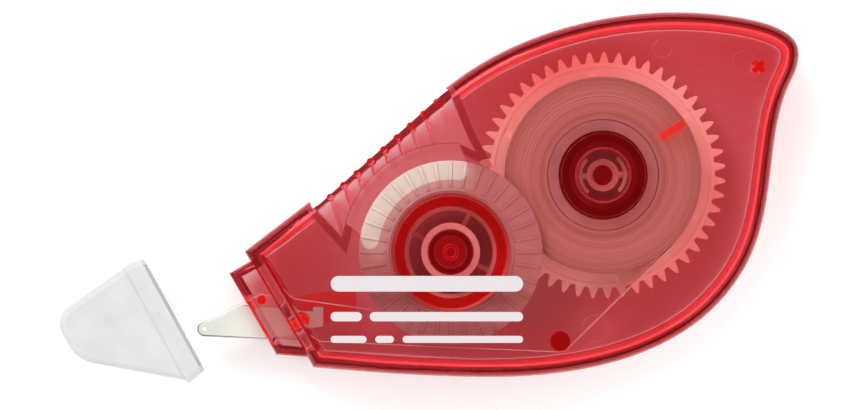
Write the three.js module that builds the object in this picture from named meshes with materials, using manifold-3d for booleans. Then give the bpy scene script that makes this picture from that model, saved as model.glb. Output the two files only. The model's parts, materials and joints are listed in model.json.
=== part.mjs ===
// Correction tape roller: a snap-fit casing of two translucent covers, a geared pair of tape
// spools with a slipping clutch, an applicator tip with a press roller, and a loose cap.
// Units are millimetres. The roller lies on its back cover: Z = 0 is the back cover's outer face,
// the supply spool's axle is the Z axis, and +X points from the tip towards the tail.

import * as THREE from 'three';
import { mergeVertices } from 'three/addons/utils/BufferGeometryUtils.js';
import Module from 'manifold-3d';

const wasm = await Module();
wasm.setup();

// ---------------------------------------------------------------- driving dimensions

// Casing
const CASING_THICKNESS = 14;
const BACK_WALL_TOP = 1.5;
const FRONT_WALL_BOTTOM = 12.3;
const SPLIT_Z = 7;
const SPLIT_GAP = 0.12;
const SIDE_WALL = 1.5;
const EDGE_ROUND = 2.2;
const INNER_ROUND = 1.0;
const NOSE_BOTTOM = 1.3;
const NOSE_TOP = 12.7;
const NOSE_WALL = 1.2;
const NOSE_ROUND = 1.1;

// Tape
const TAPE_BOTTOM = 4.5;
const TAPE_TOP = 9.5;
const TAPE_THICKNESS = 0.12;
const TAPE_CLEARANCE = 0.06;

// Gears
const GEAR_MODULE = 0.6;
const SUPPLY_TEETH = 51;
const TAKEUP_TEETH = 22;
const PRESSURE_ANGLE = THREE.MathUtils.degToRad(20);
const BACKLASH = 0.18;
const GEAR_BOTTOM = 2.1;
const GEAR_TOP = 4.1;
const SUPPLY_TOOTH_ANGLE = THREE.MathUtils.degToRad(89.1);

// Spools
const TAKEUP_CENTRE = new THREE.Vector2(-19.55, -9.88);
const SUPPLY_AXLE_RADIUS = 1.25;
const PACK_INNER_RADIUS = 7.15;
const PACK_OUTER_RADIUS = 12.6;
const CORE_RADIUS = 7.07;
const TAKEUP_AXLE_RADIUS = 2.85;
const DRUM_RADIUS = 8.2;
const WINDING_RADIUS = 8.62;
const FLANGE_RADIUS = 11.77;
const FLANGE_BOTTOM = 9.9;
const FLANGE_TOP = 11.2;
const GRIP_RIBS = 36;

// Applicator
const ROLLER_CENTRE = new THREE.Vector2(-51.15, -19.75);
const ROLLER_RADIUS = 0.8;
const PIN_RADIUS = 0.28;
const GUIDE_POST = { centre: new THREE.Vector2(-5.54, -21.26), radius: 1.3 };
const RETURN_POST = { centre: new THREE.Vector2(-43.76, -16.01), radius: 0.6 };
const HOOK_POST = { centre: new THREE.Vector2(-38.59, -18.53), radius: 0.7 };

// Finger window in the front cover, round the take-up axle
const WINDOW_INNER_RADIUS = 9.3;
const WINDOW_OUTER_RADIUS = 13.9;

// Grip along the upper edge
const GRIP_START = new THREE.Vector2(-36.34, -3.7);
const GRIP_END = new THREE.Vector2(-20.65, 10.31);
const GRIP_BUMPS = 9;
const GRIP_BUMP_RADIUS = 0.45;
const GRIP_BUMP_STAND = 0.18;
const BUMP_END = 0.6;

// Cap
const CAP_WALL = 0.8;
const CAP_ROUND = 1.0;
const CAP_BODY_INSET = 0.25;

// ---------------------------------------------------------------- materials

function plastic(color, roughness) {
  return new THREE.MeshStandardMaterial({ color, roughness, metalness: 0 });
}

const redClear = plastic(0xc8303c, 0.15);
const palePlastic = plastic(0xe9e4da, 0.4);
const tapeWhite = plastic(0xf0eadf, 0.6);
const tapeBrown = plastic(0xd8c9ae, 0.6);
const tipPlastic = plastic(0xe8e6d8, 0.45);
const capPlastic = plastic(0xe6e8ea, 0.35);

// ---------------------------------------------------------------- solids

// A closed manifold-3d solid from any closed three.js geometry.
function solidFrom(geometry) {
  geometry.deleteAttribute('normal');
  geometry.deleteAttribute('uv');
  const welded = mergeVertices(geometry);
  const mesh = new wasm.Mesh({
    numProp: 3,
    vertProperties: welded.attributes.position.array,
    triVerts: new Uint32Array(welded.index.array),
  });
  return new wasm.Manifold(mesh);
}

function geometryFrom(solid) {
  const mesh = solid.getMesh();
  const geometry = new THREE.BufferGeometry();
  geometry.setAttribute('position', new THREE.BufferAttribute(mesh.vertProperties, 3));
  geometry.setIndex(new THREE.BufferAttribute(mesh.triVerts, 1));
  geometry.computeVertexNormals();
  return geometry;
}

// An upright prism over an outline of Vector2 points, with optional holes.
function prism(outline, bottom, top, holes = []) {
  const shape = new THREE.Shape(outline);
  holes.forEach((hole) => shape.holes.push(new THREE.Path(hole)));
  const geometry = new THREE.ExtrudeGeometry(shape, { depth: top - bottom, bevelEnabled: false });
  geometry.translate(0, 0, bottom);
  return solidFrom(geometry);
}

// A prism with rounded upper and lower edges; inset shrinks its outline.
function roundedPrism(outline, bottom, top, round, inset = 0) {
  const geometry = new THREE.ExtrudeGeometry(new THREE.Shape(outline), {
    depth: top - bottom - 2 * round,
    bevelEnabled: true,
    bevelThickness: round,
    bevelSize: round,
    bevelOffset: -round - inset,
    bevelSegments: 3,
  });
  geometry.translate(0, 0, bottom + round);
  return solidFrom(geometry);
}

function polar(centre, radius, degrees) {
  const angle = THREE.MathUtils.degToRad(degrees);
  return new THREE.Vector2(centre.x + radius * Math.cos(angle), centre.y + radius * Math.sin(angle));
}

function arcPoints(centre, radius, startDegrees, endDegrees, steps) {
  const points = [];
  for (let step = 0; step <= steps; step += 1) {
    points.push(polar(centre, radius, startDegrees + ((endDegrees - startDegrees) * step) / steps));
  }
  return points;
}

function circlePoints(centre, radius, steps) {
  return arcPoints(centre, radius, 0, 360, steps).slice(0, -1);
}

const AXIS = new THREE.Vector2(0, 0);

function disc(radius, bottom, top, steps = 48, centre = AXIS) {
  return prism(circlePoints(centre, radius, steps), bottom, top);
}

const RING_STEPS = 48;

function ring(inner, outer, bottom, top, steps = RING_STEPS, centre = AXIS) {
  return prism(circlePoints(centre, outer, steps), bottom, top, [circlePoints(centre, inner, steps)]);
}

// A straight bar of the given width between two points.
function bar(from, to, width, bottom, top) {
  const along = to.clone().sub(from).normalize();
  const side = new THREE.Vector2(-along.y, along.x).multiplyScalar(width / 2);
  const corners = [
    from.clone().sub(side),
    to.clone().sub(side),
    to.clone().add(side),
    from.clone().add(side),
  ];
  return prism(corners, bottom, top);
}

function spoke(inner, outer, width, degrees, bottom, top) {
  return bar(polar(AXIS, inner, degrees), polar(AXIS, outer, degrees), width, bottom, top);
}

function joined(solids) {
  return solids.reduce((whole, solid) => whole.add(solid));
}

function points(...pairs) {
  return pairs.map(([x, y]) => new THREE.Vector2(x, y));
}

// Moves every corner of a closed counter-clockwise outline outwards by a distance.
function grown(outline, distance) {
  const count = outline.length;
  return outline.map((corner, index) => {
    const before = outline[(index + count - 1) % count];
    const after = outline[(index + 1) % count];
    const arriving = corner.clone().sub(before).normalize();
    const leaving = after.clone().sub(corner).normalize();
    const normal = new THREE.Vector2(arriving.y + leaving.y, -arriving.x - leaving.x).normalize();
    const spread = normal.x * leaving.y - normal.y * leaving.x;
    return corner.clone().addScaledVector(normal, distance / Math.max(spread, 0.5));
  });
}

// ---------------------------------------------------------------- casing outlines

// The body seen from the front: shoulder, grip edge, long back, tail and belly.
function bodyOutline() {
  const shape = new THREE.Shape();
  shape.moveTo(-45.94, -9.75);
  shape.lineTo(-37.95, -3.62);
  shape.lineTo(-20.14, 11.21);
  shape.bezierCurveTo(-10.36, 19.11, 4.03, 22.23, 16.64, 20.34);
  shape.bezierCurveTo(19.83, 19.87, 25.18, 18.8, 25.06, 15.59);
  shape.bezierCurveTo(24.99, 13.35, 24.01, 12.3, 23.33, 10.44);
  shape.bezierCurveTo(22.0, 6.85, 21.76, 2.93, 21.27, -0.87);
  shape.bezierCurveTo(20.45, -7.22, 19.13, -11.7, 14.84, -16.31);
  shape.bezierCurveTo(7.82, -23.85, -4.13, -25.9, -14.48, -25.87);
  shape.bezierCurveTo(-21.91, -25.86, -29.45, -25.3, -37.1, -24.64);
  return shape.getPoints(10).reverse();
}

const BODY = bodyOutline();
const NOSE = points(
  [-47.92, -12.58],
  [-41.87, -22.99],
  [-37.95, -23.3],
  [-34.5, -23.0],
  [-40.6, -9.2],
  [-45.45, -11.15],
);
const NOSE_HOLLOW = points(
  [-46.3, -13.0],
  [-41.2, -21.75],
  [-37.0, -22.2],
  [-32.6, -20.6],
  [-38.6, -9.6],
  [-43.4, -11.4],
);

// The slot in the nose that the applicator comes out of.
const NOSE_SLOT = points([-48.0, -15.3], [-45.4, -21.6], [-40.2, -21.6], [-42.6, -15.3]);
const NOSE_SLOT_BOTTOM = 3.3;
const NOSE_SLOT_TOP = 10.7;

// The scoop between the grip edge and the finger window.
function scoopOutline() {
  const arc = arcPoints(TAKEUP_CENTRE, WINDOW_OUTER_RADIUS + 0.1, 164, 86, 14);
  return [
    ...points([-39.4, -1.6], [-33.45, -8.0]),
    ...arc,
    ...points([-16.35, 3.0], [-17.3, 4.78], [-19.5, 10.06], [-20.6, 12.4]),
  ];
}

const SCOOP = scoopOutline();
const FRONT_SCOOP_FLOOR = 11.5;
const FRONT_PAN_BOTTOM = 10.3;
const BACK_SCOOP_FLOOR = 0.9;
const BACK_PAN_TOP = 1.95;
const PAN_WALL = 1.0;

// The finger window: an arc-shaped slot with rounded ends.
function windowOutline() {
  const shape = new THREE.Shape();
  const at = (radius, degrees) => polar(TAKEUP_CENTRE, radius, degrees);
  const corner = (control, end) => shape.quadraticCurveTo(control.x, control.y, end.x, end.y);
  const line = (end) => shape.lineTo(end.x, end.y);
  const start = at(WINDOW_OUTER_RADIUS, 85.5);
  shape.moveTo(start.x, start.y);
  arcPoints(TAKEUP_CENTRE, WINDOW_OUTER_RADIUS, 90, 164.5, 14).forEach(line);
  line(at(12.0, 168));
  line(at(11.2, 176));
  corner(at(10.4, 180), at(WINDOW_INNER_RADIUS + 0.2, 175));
  arcPoints(TAKEUP_CENTRE, WINDOW_INNER_RADIUS, 172, 84, 16).forEach(line);
  corner(at(WINDOW_INNER_RADIUS + 0.1, 76.5), at(11.2, 78.4));
  return shape.getPoints(4);
}

// ---------------------------------------------------------------- casing

function grownSlab(outline, bottom, top) {
  return prism(grown(outline, PAN_WALL), bottom, top);
}

function casingBlock() {
  const body = roundedPrism(BODY, 0, CASING_THICKNESS, EDGE_ROUND);
  const nose = roundedPrism(NOSE, NOSE_BOTTOM, NOSE_TOP, NOSE_ROUND);
  return body.add(nose).subtract(gripCut()).add(gripBumps().intersect(bumpReach()));
}

function casingHollow() {
  const body = roundedPrism(BODY, BACK_WALL_TOP, FRONT_WALL_BOTTOM, INNER_ROUND, SIDE_WALL);
  const nose = prism(NOSE_HOLLOW, NOSE_BOTTOM + NOSE_WALL, NOSE_TOP - NOSE_WALL);
  const slot = prism(NOSE_SLOT, NOSE_SLOT_BOTTOM, NOSE_SLOT_TOP);
  return body.add(nose).add(slot);
}

// The grip is set in from the body's edge: this wedge is what it is set in by.
function gripCut() {
  const wedge = points(
    [-37.25, -4.3],
    [GRIP_START.x, GRIP_START.y],
    [GRIP_END.x, GRIP_END.y],
    [-19.9, 10.9],
    [-23.0, 14.0],
    [-39.0, -0.6],
  );
  return prism(wedge, -1, CASING_THICKNESS + 1);
}

function gripPoint(index) {
  return GRIP_START.clone().lerp(GRIP_END, (index + 0.7) / (GRIP_BUMPS + 0.2));
}

const GRIP_ALONG = GRIP_END.clone().sub(GRIP_START).normalize();
const GRIP_INWARD = new THREE.Vector2(GRIP_ALONG.y, -GRIP_ALONG.x);

function gripBumps() {
  const bumps = [];
  for (let index = 0; index < GRIP_BUMPS; index += 1) {
    const sunk = GRIP_BUMP_RADIUS - GRIP_BUMP_STAND;
    const centre = gripPoint(index).addScaledVector(GRIP_INWARD, sunk);
    bumps.push(disc(GRIP_BUMP_RADIUS, 0, CASING_THICKNESS, 10, centre));
  }
  return joined(bumps);
}

// The bumps end where the casing's rounded edges begin.
function bumpReach() {
  return roundedPrism(BODY, BUMP_END, CASING_THICKNESS - BUMP_END, EDGE_ROUND);
}

// Raised cross ribs on the floor of a scoop, one in line with each grip bump.
function scoopRibs(bottom, top) {
  const ribs = [];
  for (let index = 0; index < GRIP_BUMPS - 1; index += 1) {
    const start = gripPoint(index).addScaledVector(GRIP_INWARD, 0.4);
    const end = start.clone().add(new THREE.Vector2(0.3, -0.954).multiplyScalar(6));
    ribs.push(bar(start, end, 0.4, bottom, top));
  }
  const floor = prism(grown(SCOOP, 0.1), bottom - 1, top + 1);
  const window = prism(windowOutline(), bottom - 1, top + 1);
  const keepOut = disc(WINDOW_OUTER_RADIUS, bottom - 1, top + 1, 48, TAKEUP_CENTRE);
  return joined(ribs).intersect(floor).subtract(window).subtract(keepOut);
}

function frontHalf(solid) {
  const side = 200;
  const box = new THREE.BoxGeometry(side, side, side);
  box.translate(0, 0, SPLIT_Z + SPLIT_GAP / 2 + side / 2);
  return solid.intersect(solidFrom(box));
}

function backHalf(solid) {
  const side = 200;
  const box = new THREE.BoxGeometry(side, side, side);
  box.translate(0, 0, SPLIT_Z - SPLIT_GAP / 2 - side / 2);
  return solid.intersect(solidFrom(box));
}

const WALL_BITE = 0.2;
const COVER_RIB_BOTTOM = 9.8;
const SEAT_TOP = 3.3;

function frontCover() {
  const rootZ = FRONT_WALL_BOTTOM + WALL_BITE;
  const block = casingBlock();
  const pan = grownSlab(SCOOP, FRONT_PAN_BOTTOM, CASING_THICKNESS).intersect(block);
  const fittings = joined([
    ring(4.3, 5.5, 5.6, rootZ, 40),
    ring(5.9, 7.33, 5.2, rootZ, 40, TAKEUP_CENTRE),
    ring(0.6, 1.05, 9.4, rootZ, 24, TAKEUP_CENTRE),
    spoke(8.74, 12.2, 1.0, 33, COVER_RIB_BOTTOM, rootZ),
  ]);
  const cut = joined([
    prism(SCOOP, FRONT_SCOOP_FLOOR, CASING_THICKNESS + 1),
    prism(windowOutline(), FRONT_PAN_BOTTOM - 1, CASING_THICKNESS + 1),
  ]);
  const shell = block.subtract(casingHollow()).add(pan).add(fittings).subtract(cut);
  return frontHalf(shell.add(scoopRibs(FRONT_SCOOP_FLOOR - WALL_BITE, FRONT_SCOOP_FLOOR + 0.35)));
}

// A post that stands on the back cover.
function post(centre, radius, top, steps = 24) {
  return disc(radius, BACK_WALL_TOP - WALL_BITE, top, steps, centre);
}

// The seat under the applicator's tail, with a curved edge along the return tape.
function applicatorSeat() {
  const curve = new THREE.QuadraticBezierCurve(
    new THREE.Vector2(-31.7, -14.7),
    new THREE.Vector2(-35.9, -14.7),
    new THREE.Vector2(-40.2, -16.0),
  );
  const outline = [
    ...curve.getPoints(8),
    new THREE.Vector2(-38.7, -19.2),
    new THREE.Vector2(-35.1, -18.9),
    new THREE.Vector2(-35.1, -17.6),
    new THREE.Vector2(-31.7, -17.5),
  ];
  return prism(outline, BACK_WALL_TOP - WALL_BITE, SEAT_TOP);
}

function crossPin(centre, size, width, bottom, top) {
  const arms = [45, 135].map((degrees) => {
    return bar(polar(centre, size, degrees), polar(centre, size, degrees + 180), width, bottom, top);
  });
  return joined(arms);
}

const TAIL_PIN = new THREE.Vector2(19.86, 13.91);

function backCover() {
  const block = casingBlock();
  const pan = grownSlab(SCOOP, 0, BACK_PAN_TOP).intersect(block);
  const noseFloor = NOSE_BOTTOM + NOSE_WALL - WALL_BITE;
  const axleTip = joined([0, 90, 180, 270].map((degrees) => {
    return disc(0.42, 7.6, 9, 16, polar(AXIS, 1.2, degrees + 20));
  }));
  const fittings = joined([
    post(AXIS, SUPPLY_AXLE_RADIUS, 8.2, 28).subtract(axleTip),
    ring(2.1, TAKEUP_AXLE_RADIUS, BACK_WALL_TOP - WALL_BITE, 8.8, 40, TAKEUP_CENTRE),
    post(GUIDE_POST.centre, GUIDE_POST.radius, 11.2),
    crossPin(TAIL_PIN, 0.95, 0.75, BACK_WALL_TOP - WALL_BITE, 11.9),
    applicatorSeat(),
    disc(RETURN_POST.radius, noseFloor, 11.1, 20, RETURN_POST.centre),
    disc(HOOK_POST.radius, noseFloor, 11.1, 20, HOOK_POST.centre),
  ]);
  const cut = prism(SCOOP, -1, BACK_SCOOP_FLOOR);
  const ribs = scoopRibs(BACK_SCOOP_FLOOR - 0.35, BACK_SCOOP_FLOOR + WALL_BITE);
  return backHalf(block.subtract(casingHollow()).add(pan).add(fittings).subtract(cut).add(ribs));
}

// ---------------------------------------------------------------- gears

function involute(angle) {
  return Math.tan(angle) - angle;
}

// The outline of a spur gear whose first tooth is centred on toothAngle (radians).
function gearOutline(teeth, toothAngle) {
  const pitchRadius = (GEAR_MODULE * teeth) / 2;
  const baseRadius = pitchRadius * Math.cos(PRESSURE_ANGLE);
  const tipRadius = pitchRadius + GEAR_MODULE;
  const rootRadius = pitchRadius - 1.3 * GEAR_MODULE;
  const pitchHalf = (Math.PI * GEAR_MODULE / 2 - BACKLASH) / (2 * pitchRadius);
  const halfAngle = (radius) => {
    const slope = Math.acos(Math.min(1, baseRadius / radius));
    return pitchHalf + involute(PRESSURE_ANGLE) - involute(slope);
  };
  const flank = [
    [rootRadius, halfAngle(rootRadius) + 0.08 / rootRadius],
    [pitchRadius, pitchHalf],
    [tipRadius - 0.1, halfAngle(tipRadius - 0.1)],
    [tipRadius, halfAngle(tipRadius) * 0.5],
  ];
  const outline = [];
  for (let tooth = 0; tooth < teeth; tooth += 1) {
    const middle = toothAngle + (tooth * 2 * Math.PI) / teeth;
    const side = (sign) => ([radius, half]) => {
      const angle = middle + sign * half;
      return new THREE.Vector2(radius * Math.cos(angle), radius * Math.sin(angle));
    };
    outline.push(...flank.map(side(-1)), ...flank.slice().reverse().map(side(1)));
  }
  return outline;
}

const LINE_OF_CENTRES = Math.atan2(TAKEUP_CENTRE.y, TAKEUP_CENTRE.x) + 2 * Math.PI;

// The take-up gear's first tooth, turned so that a gap meets each supply tooth.
function takeupToothAngle() {
  const supplyPitches = ((LINE_OF_CENTRES - SUPPLY_TOOTH_ANGLE) * SUPPLY_TEETH) / (2 * Math.PI);
  return LINE_OF_CENTRES + Math.PI + ((supplyPitches + 0.5) * 2 * Math.PI) / TAKEUP_TEETH;
}

// ---------------------------------------------------------------- supply spool

const SPOKE_ANGLE = 3;
const GEAR_HOLE_RADIUS = 4.3;
const SLEEVE_INNER = 1.34;
const SLEEVE_OUTER = 1.75;
const SLEEVE_TOP = 5.6;

function supplyGear() {
  const rim = prism(
    gearOutline(SUPPLY_TEETH, SUPPLY_TOOTH_ANGLE),
    GEAR_BOTTOM,
    GEAR_TOP,
    [circlePoints(AXIS, GEAR_HOLE_RADIUS, 40)],
  );
  const spokes = [SPOKE_ANGLE, SPOKE_ANGLE + 180].map((degrees) => {
    return spoke(SLEEVE_OUTER - 0.15, GEAR_HOLE_RADIUS + 0.1, 0.8, degrees, GEAR_BOTTOM, GEAR_TOP);
  });
  const dimples = [0, 1, 2, 3, 4, 5].map((index) => {
    return disc(0.6, GEAR_TOP - 0.25, GEAR_TOP + 1, 14, polar(AXIS, 13.45, 36 + 60 * index));
  });
  const sleeve = ring(SLEEVE_INNER, SLEEVE_OUTER, GEAR_BOTTOM, SLEEVE_TOP, 28);
  return joined([rim, sleeve, ...spokes]).subtract(joined(dimples));
}

function clutchSpring() {
  const bottom = 6.0;
  const top = 7.2;
  const parts = [ring(1.6, 2.1, bottom, top, 32)];
  [SPOKE_ANGLE, SPOKE_ANGLE + 180].forEach((degrees) => {
    const outer = arcPoints(AXIS, 3.15, degrees - 48, degrees + 48, 14);
    const inner = arcPoints(AXIS, 2.65, degrees + 48, degrees - 48, 14);
    parts.push(prism([...outer, ...inner], bottom, top));
    parts.push(spoke(2.0, 2.75, 0.5, degrees, bottom, top));
  });
  return joined(parts);
}

function supplyCore() {
  const floorTop = TAPE_BOTTOM + 0.8;
  return joined([
    ring(3.3, 3.65, TAPE_BOTTOM, TAPE_TOP),
    ring(3.3, CORE_RADIUS, TAPE_BOTTOM, floorTop),
    ring(5.7, CORE_RADIUS, TAPE_BOTTOM, TAPE_TOP),
  ]);
}

// ---------------------------------------------------------------- take-up spool

const DRUM_FLOOR = 4.4;
const DRUM_TOP = 9.8;
const HUB_OUTER = 3.8;
const NECK_INNER = 5.2;
const NECK_OUTER = 5.75;

function takeupSpool() {
  const spokes = [64, 154, 244, 334].map((degrees) => {
    return spoke(HUB_OUTER - 0.15, NECK_INNER + 0.1, 0.65, degrees, GEAR_BOTTOM, GEAR_TOP);
  });
  const gear = prism(
    gearOutline(TAKEUP_TEETH, takeupToothAngle()),
    GEAR_BOTTOM,
    GEAR_TOP,
    [circlePoints(AXIS, NECK_INNER, RING_STEPS)],
  );
  return joined([
    gear,
    ring(TAKEUP_AXLE_RADIUS + 0.1, HUB_OUTER, GEAR_BOTTOM, 7.6),
    ring(NECK_INNER, NECK_OUTER, GEAR_TOP, DRUM_FLOOR),
    ring(NECK_INNER, DRUM_RADIUS, DRUM_FLOOR, DRUM_FLOOR + 0.5),
    ring(7.6, DRUM_RADIUS, DRUM_FLOOR, DRUM_TOP),
    ...spokes,
  ]);
}

function fingerWheel() {
  const ribs = [];
  for (let index = 0; index < GRIP_RIBS; index += 1) {
    const degrees = (index * 360) / GRIP_RIBS;
    ribs.push(spoke(8.35, FLANGE_RADIUS - 0.17, 0.28, degrees, FLANGE_TOP - 0.1, FLANGE_TOP + 0.3));
  }
  const raisedRing = ring(7.85, 8.15, FLANGE_TOP - 0.1, FLANGE_TOP + 0.2);
  return joined([ring(7.6, FLANGE_RADIUS, FLANGE_BOTTOM, FLANGE_TOP, 72), raisedRing, ...ribs]);
}

// ---------------------------------------------------------------- tape path

// Direction of the straight run between two wrapped circles. A positive radius is wrapped
// counter-clockwise, a negative one clockwise.
function runAngle(from, to) {
  const gap = to.centre.clone().sub(from.centre);
  return gap.angle() - Math.asin((to.radius - from.radius) / gap.length());
}

function wrapPoint(station, angle) {
  const { centre, radius } = station;
  return new THREE.Vector2(centre.x + radius * Math.sin(angle), centre.y - radius * Math.cos(angle));
}

// The centre line of a tape that runs over the stations in order.
function tapeLine(stations) {
  const angles = stations.slice(1).map((station, index) => runAngle(stations[index], station));
  const line = [wrapPoint(stations[0], angles[0])];
  stations.slice(1, -1).forEach((station, index) => {
    const turn = Math.sign(station.radius) * 2 * Math.PI;
    const sweep = (angles[index + 1] - angles[index] + turn) % (2 * Math.PI);
    const steps = Math.max(3, Math.ceil(Math.abs(sweep) / 0.35));
    for (let step = 0; step <= steps; step += 1) {
      line.push(wrapPoint(station, angles[index] + (sweep * step) / steps));
    }
  });
  line.push(wrapPoint(stations[stations.length - 1], angles[angles.length - 1]));
  return line;
}

// A strip of tape on edge along a centre line.
function strip(line) {
  const edge = (sign) => line.map((point, index) => {
    const before = line[Math.max(index - 1, 0)];
    const after = line[Math.min(index + 1, line.length - 1)];
    const along = after.clone().sub(before).normalize();
    const side = new THREE.Vector2(-along.y, along.x).multiplyScalar((sign * TAPE_THICKNESS) / 2);
    return point.clone().add(side);
  });
  return prism([...edge(-1), ...edge(1).reverse()], TAPE_BOTTOM, TAPE_TOP);
}

const WRAP = TAPE_CLEARANCE + TAPE_THICKNESS / 2;
const PACK_STATION = { centre: AXIS, radius: -(PACK_OUTER_RADIUS + WRAP) };
const GUIDE_STATION = { centre: GUIDE_POST.centre, radius: -(GUIDE_POST.radius + WRAP) };
const ROLLER_STATION = { centre: ROLLER_CENTRE, radius: -(ROLLER_RADIUS + WRAP) };
const RETURN_STATION = { centre: RETURN_POST.centre, radius: -(RETURN_POST.radius + WRAP) };
const WINDING_STATION = { centre: TAKEUP_CENTRE, radius: WINDING_RADIUS + WRAP };
const TAPE_LINE = tapeLine(
  [PACK_STATION, GUIDE_STATION, ROLLER_STATION, RETURN_STATION, WINDING_STATION],
);

// The two runs part at the tape's foremost point, in the middle of the press roller's wrap.
function tapeRuns() {
  const front = TAPE_LINE.reduce((best, point, index) => {
    return point.x < TAPE_LINE[best].x ? index : best;
  }, 0);
  const supply = TAPE_LINE.slice(0, front + 1);
  const restart = TAPE_LINE[front].clone().lerp(TAPE_LINE[front + 1], 0.25);
  return { supply: strip(supply), back: strip([restart, ...TAPE_LINE.slice(front + 1)]) };
}

// ---------------------------------------------------------------- applicator

const CORE_BOTTOM = 4.4;
const CORE_TOP = 9.6;
const CHEEK_THICKNESS = 0.55;

function applicator() {
  const core = points(
    [-49.7, -18.4],
    [-49.9, -20.3],
    [-48.7, -20.42],
    [-43.5, -20.68],
    [-40.0, -20.6],
    [-37.3, -19.6],
    [-35.9, -19.4],
    [-35.9, -16.9],
    [-37.2, -16.9],
    [-37.2, -17.45],
    [-40.2, -17.45],
    [-42.3, -16.9],
    [-46.1, -16.9],
  );
  const cheek = [
    ...arcPoints(ROLLER_CENTRE, 0.72, 117, 266, 8),
    ...points([-48.7, -20.6], [-43.5, -20.85], [-42.4, -20.7], [-44.7, -16.9], [-46.2, -16.7]),
  ];
  const hookHole = disc(HOOK_POST.radius + 0.25, 0, CASING_THICKNESS, 24, HOOK_POST.centre);
  const pinHole = disc(PIN_RADIUS + 0.06, 0, CASING_THICKNESS, 16, ROLLER_CENTRE);
  const whole = joined([
    prism(core, CORE_BOTTOM - 0.1, CORE_TOP + 0.1),
    prism(cheek, CORE_BOTTOM - CHEEK_THICKNESS, CORE_BOTTOM),
    prism(cheek, CORE_TOP, CORE_TOP + CHEEK_THICKNESS),
  ]);
  return whole.subtract(hookHole).subtract(pinHole);
}

const ROLLER_END_GAP = 0.15;

function pressRoller() {
  const bottom = CORE_BOTTOM + ROLLER_END_GAP;
  return ring(PIN_RADIUS + 0.1, ROLLER_RADIUS, bottom, CORE_TOP - ROLLER_END_GAP, 28);
}

function rollerPin() {
  return disc(PIN_RADIUS, CORE_BOTTOM - CHEEK_THICKNESS, CORE_TOP + CHEEK_THICKNESS, 16);
}

// ---------------------------------------------------------------- cap

// The cap's outer outline, run on past its mouth; the mouth is then cut square.
function capOutline() {
  const shape = new THREE.Shape();
  shape.moveTo(-57.1, -9.96);
  shape.lineTo(-61.42, -11.61);
  shape.lineTo(-68.52, -16.55);
  shape.quadraticCurveTo(-70.66, -18.03, -69.48, -20.35);
  shape.lineTo(-68.76, -21.74);
  shape.quadraticCurveTo(-67.67, -23.88, -65.31, -24.32);
  shape.lineTo(-53.0, -26.59);
  shape.lineTo(-50.0, -24.03);
  return shape.getPoints(5);
}

const CAP = capOutline();
const MOUTH_TOP = new THREE.Vector2(-59.24, -10.78);
const MOUTH_BOTTOM = new THREE.Vector2(-51.35, -25.18);
const SKIRT_WIDTH = 2.26;

// Everything between two lines that run parallel to the cap's mouth, at the given distances
// behind it.
function mouthBand(near, far) {
  const along = MOUTH_BOTTOM.clone().sub(MOUTH_TOP).normalize();
  const behind = new THREE.Vector2(along.y, -along.x);
  const upper = MOUTH_TOP.clone().addScaledVector(along, -10);
  const lower = MOUTH_BOTTOM.clone().addScaledVector(along, 10);
  const corners = [
    upper.clone().addScaledVector(behind, near),
    upper.clone().addScaledVector(behind, far),
    lower.clone().addScaledVector(behind, far),
    lower.clone().addScaledVector(behind, near),
  ];
  return prism(corners, -1, CASING_THICKNESS + 1);
}

function cap() {
  const inset = CAP_BODY_INSET;
  const skirt = roundedPrism(CAP, 0, CASING_THICKNESS, CAP_ROUND).intersect(mouthBand(0, SKIRT_WIDTH));
  const body = roundedPrism(CAP, inset, CASING_THICKNESS - inset, CAP_ROUND, inset);
  const shell = body.intersect(mouthBand(0.5, 40)).add(skirt);
  const wall = CAP_WALL + inset;
  const hollow = roundedPrism(CAP, 0.9, CASING_THICKNESS - 0.9, CAP_ROUND - 0.4, wall);
  const mouth = roundedPrism(CAP, 0.7, CASING_THICKNESS - 0.7, CAP_ROUND - 0.4, CAP_WALL);
  return shell.subtract(hollow).subtract(mouth.intersect(mouthBand(-6, SKIRT_WIDTH - 0.3)));
}

// ---------------------------------------------------------------- assembly

const group = new THREE.Group();

function place(parent, name, solid, material) {
  const mesh = new THREE.Mesh(geometryFrom(solid), material);
  mesh.name = name;
  parent.add(mesh);
  return mesh;
}

function subGroup(position) {
  const holder = new THREE.Group();
  holder.position.set(position.x, position.y, 0);
  group.add(holder);
  return holder;
}

place(group, 'front_cover', frontCover(), redClear);
place(group, 'back_cover', backCover(), redClear);

const supply = subGroup(AXIS);
place(supply, 'supply_gear', supplyGear(), palePlastic);
place(supply, 'clutch_spring', clutchSpring(), palePlastic);
place(supply, 'supply_core', supplyCore(), palePlastic);
place(supply, 'tape_pack', ring(PACK_INNER_RADIUS, PACK_OUTER_RADIUS, TAPE_BOTTOM, TAPE_TOP, 72), tapeBrown);

const takeup = subGroup(TAKEUP_CENTRE);
place(takeup, 'takeup_spool', takeupSpool(), palePlastic);
place(takeup, 'finger_wheel', fingerWheel(), palePlastic);
place(takeup, 'takeup_winding', ring(DRUM_RADIUS + 0.06, WINDING_RADIUS, 4.95, TAPE_TOP, 72), tapeBrown);

const runs = tapeRuns();
place(group, 'tape_supply_run', runs.supply, tapeWhite);
place(group, 'tape_return_run', runs.back, tapeBrown);
place(group, 'applicator', applicator(), tipPlastic);

const roller = subGroup(ROLLER_CENTRE);
place(roller, 'press_roller', pressRoller(), tipPlastic);
place(roller, 'roller_pin', rollerPin(), palePlastic);
place(group, 'cap', cap(), capPlastic);

export default group;
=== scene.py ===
"""Correction tape roller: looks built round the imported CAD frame.

Every shape is drawn in millimetres in the CAD frame and scaled to metres when it is finished. The
roller lies on its back cover, the supply spool turns about the Z axis, and +X points to the tail.
"""

import json
import math
import random

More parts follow.
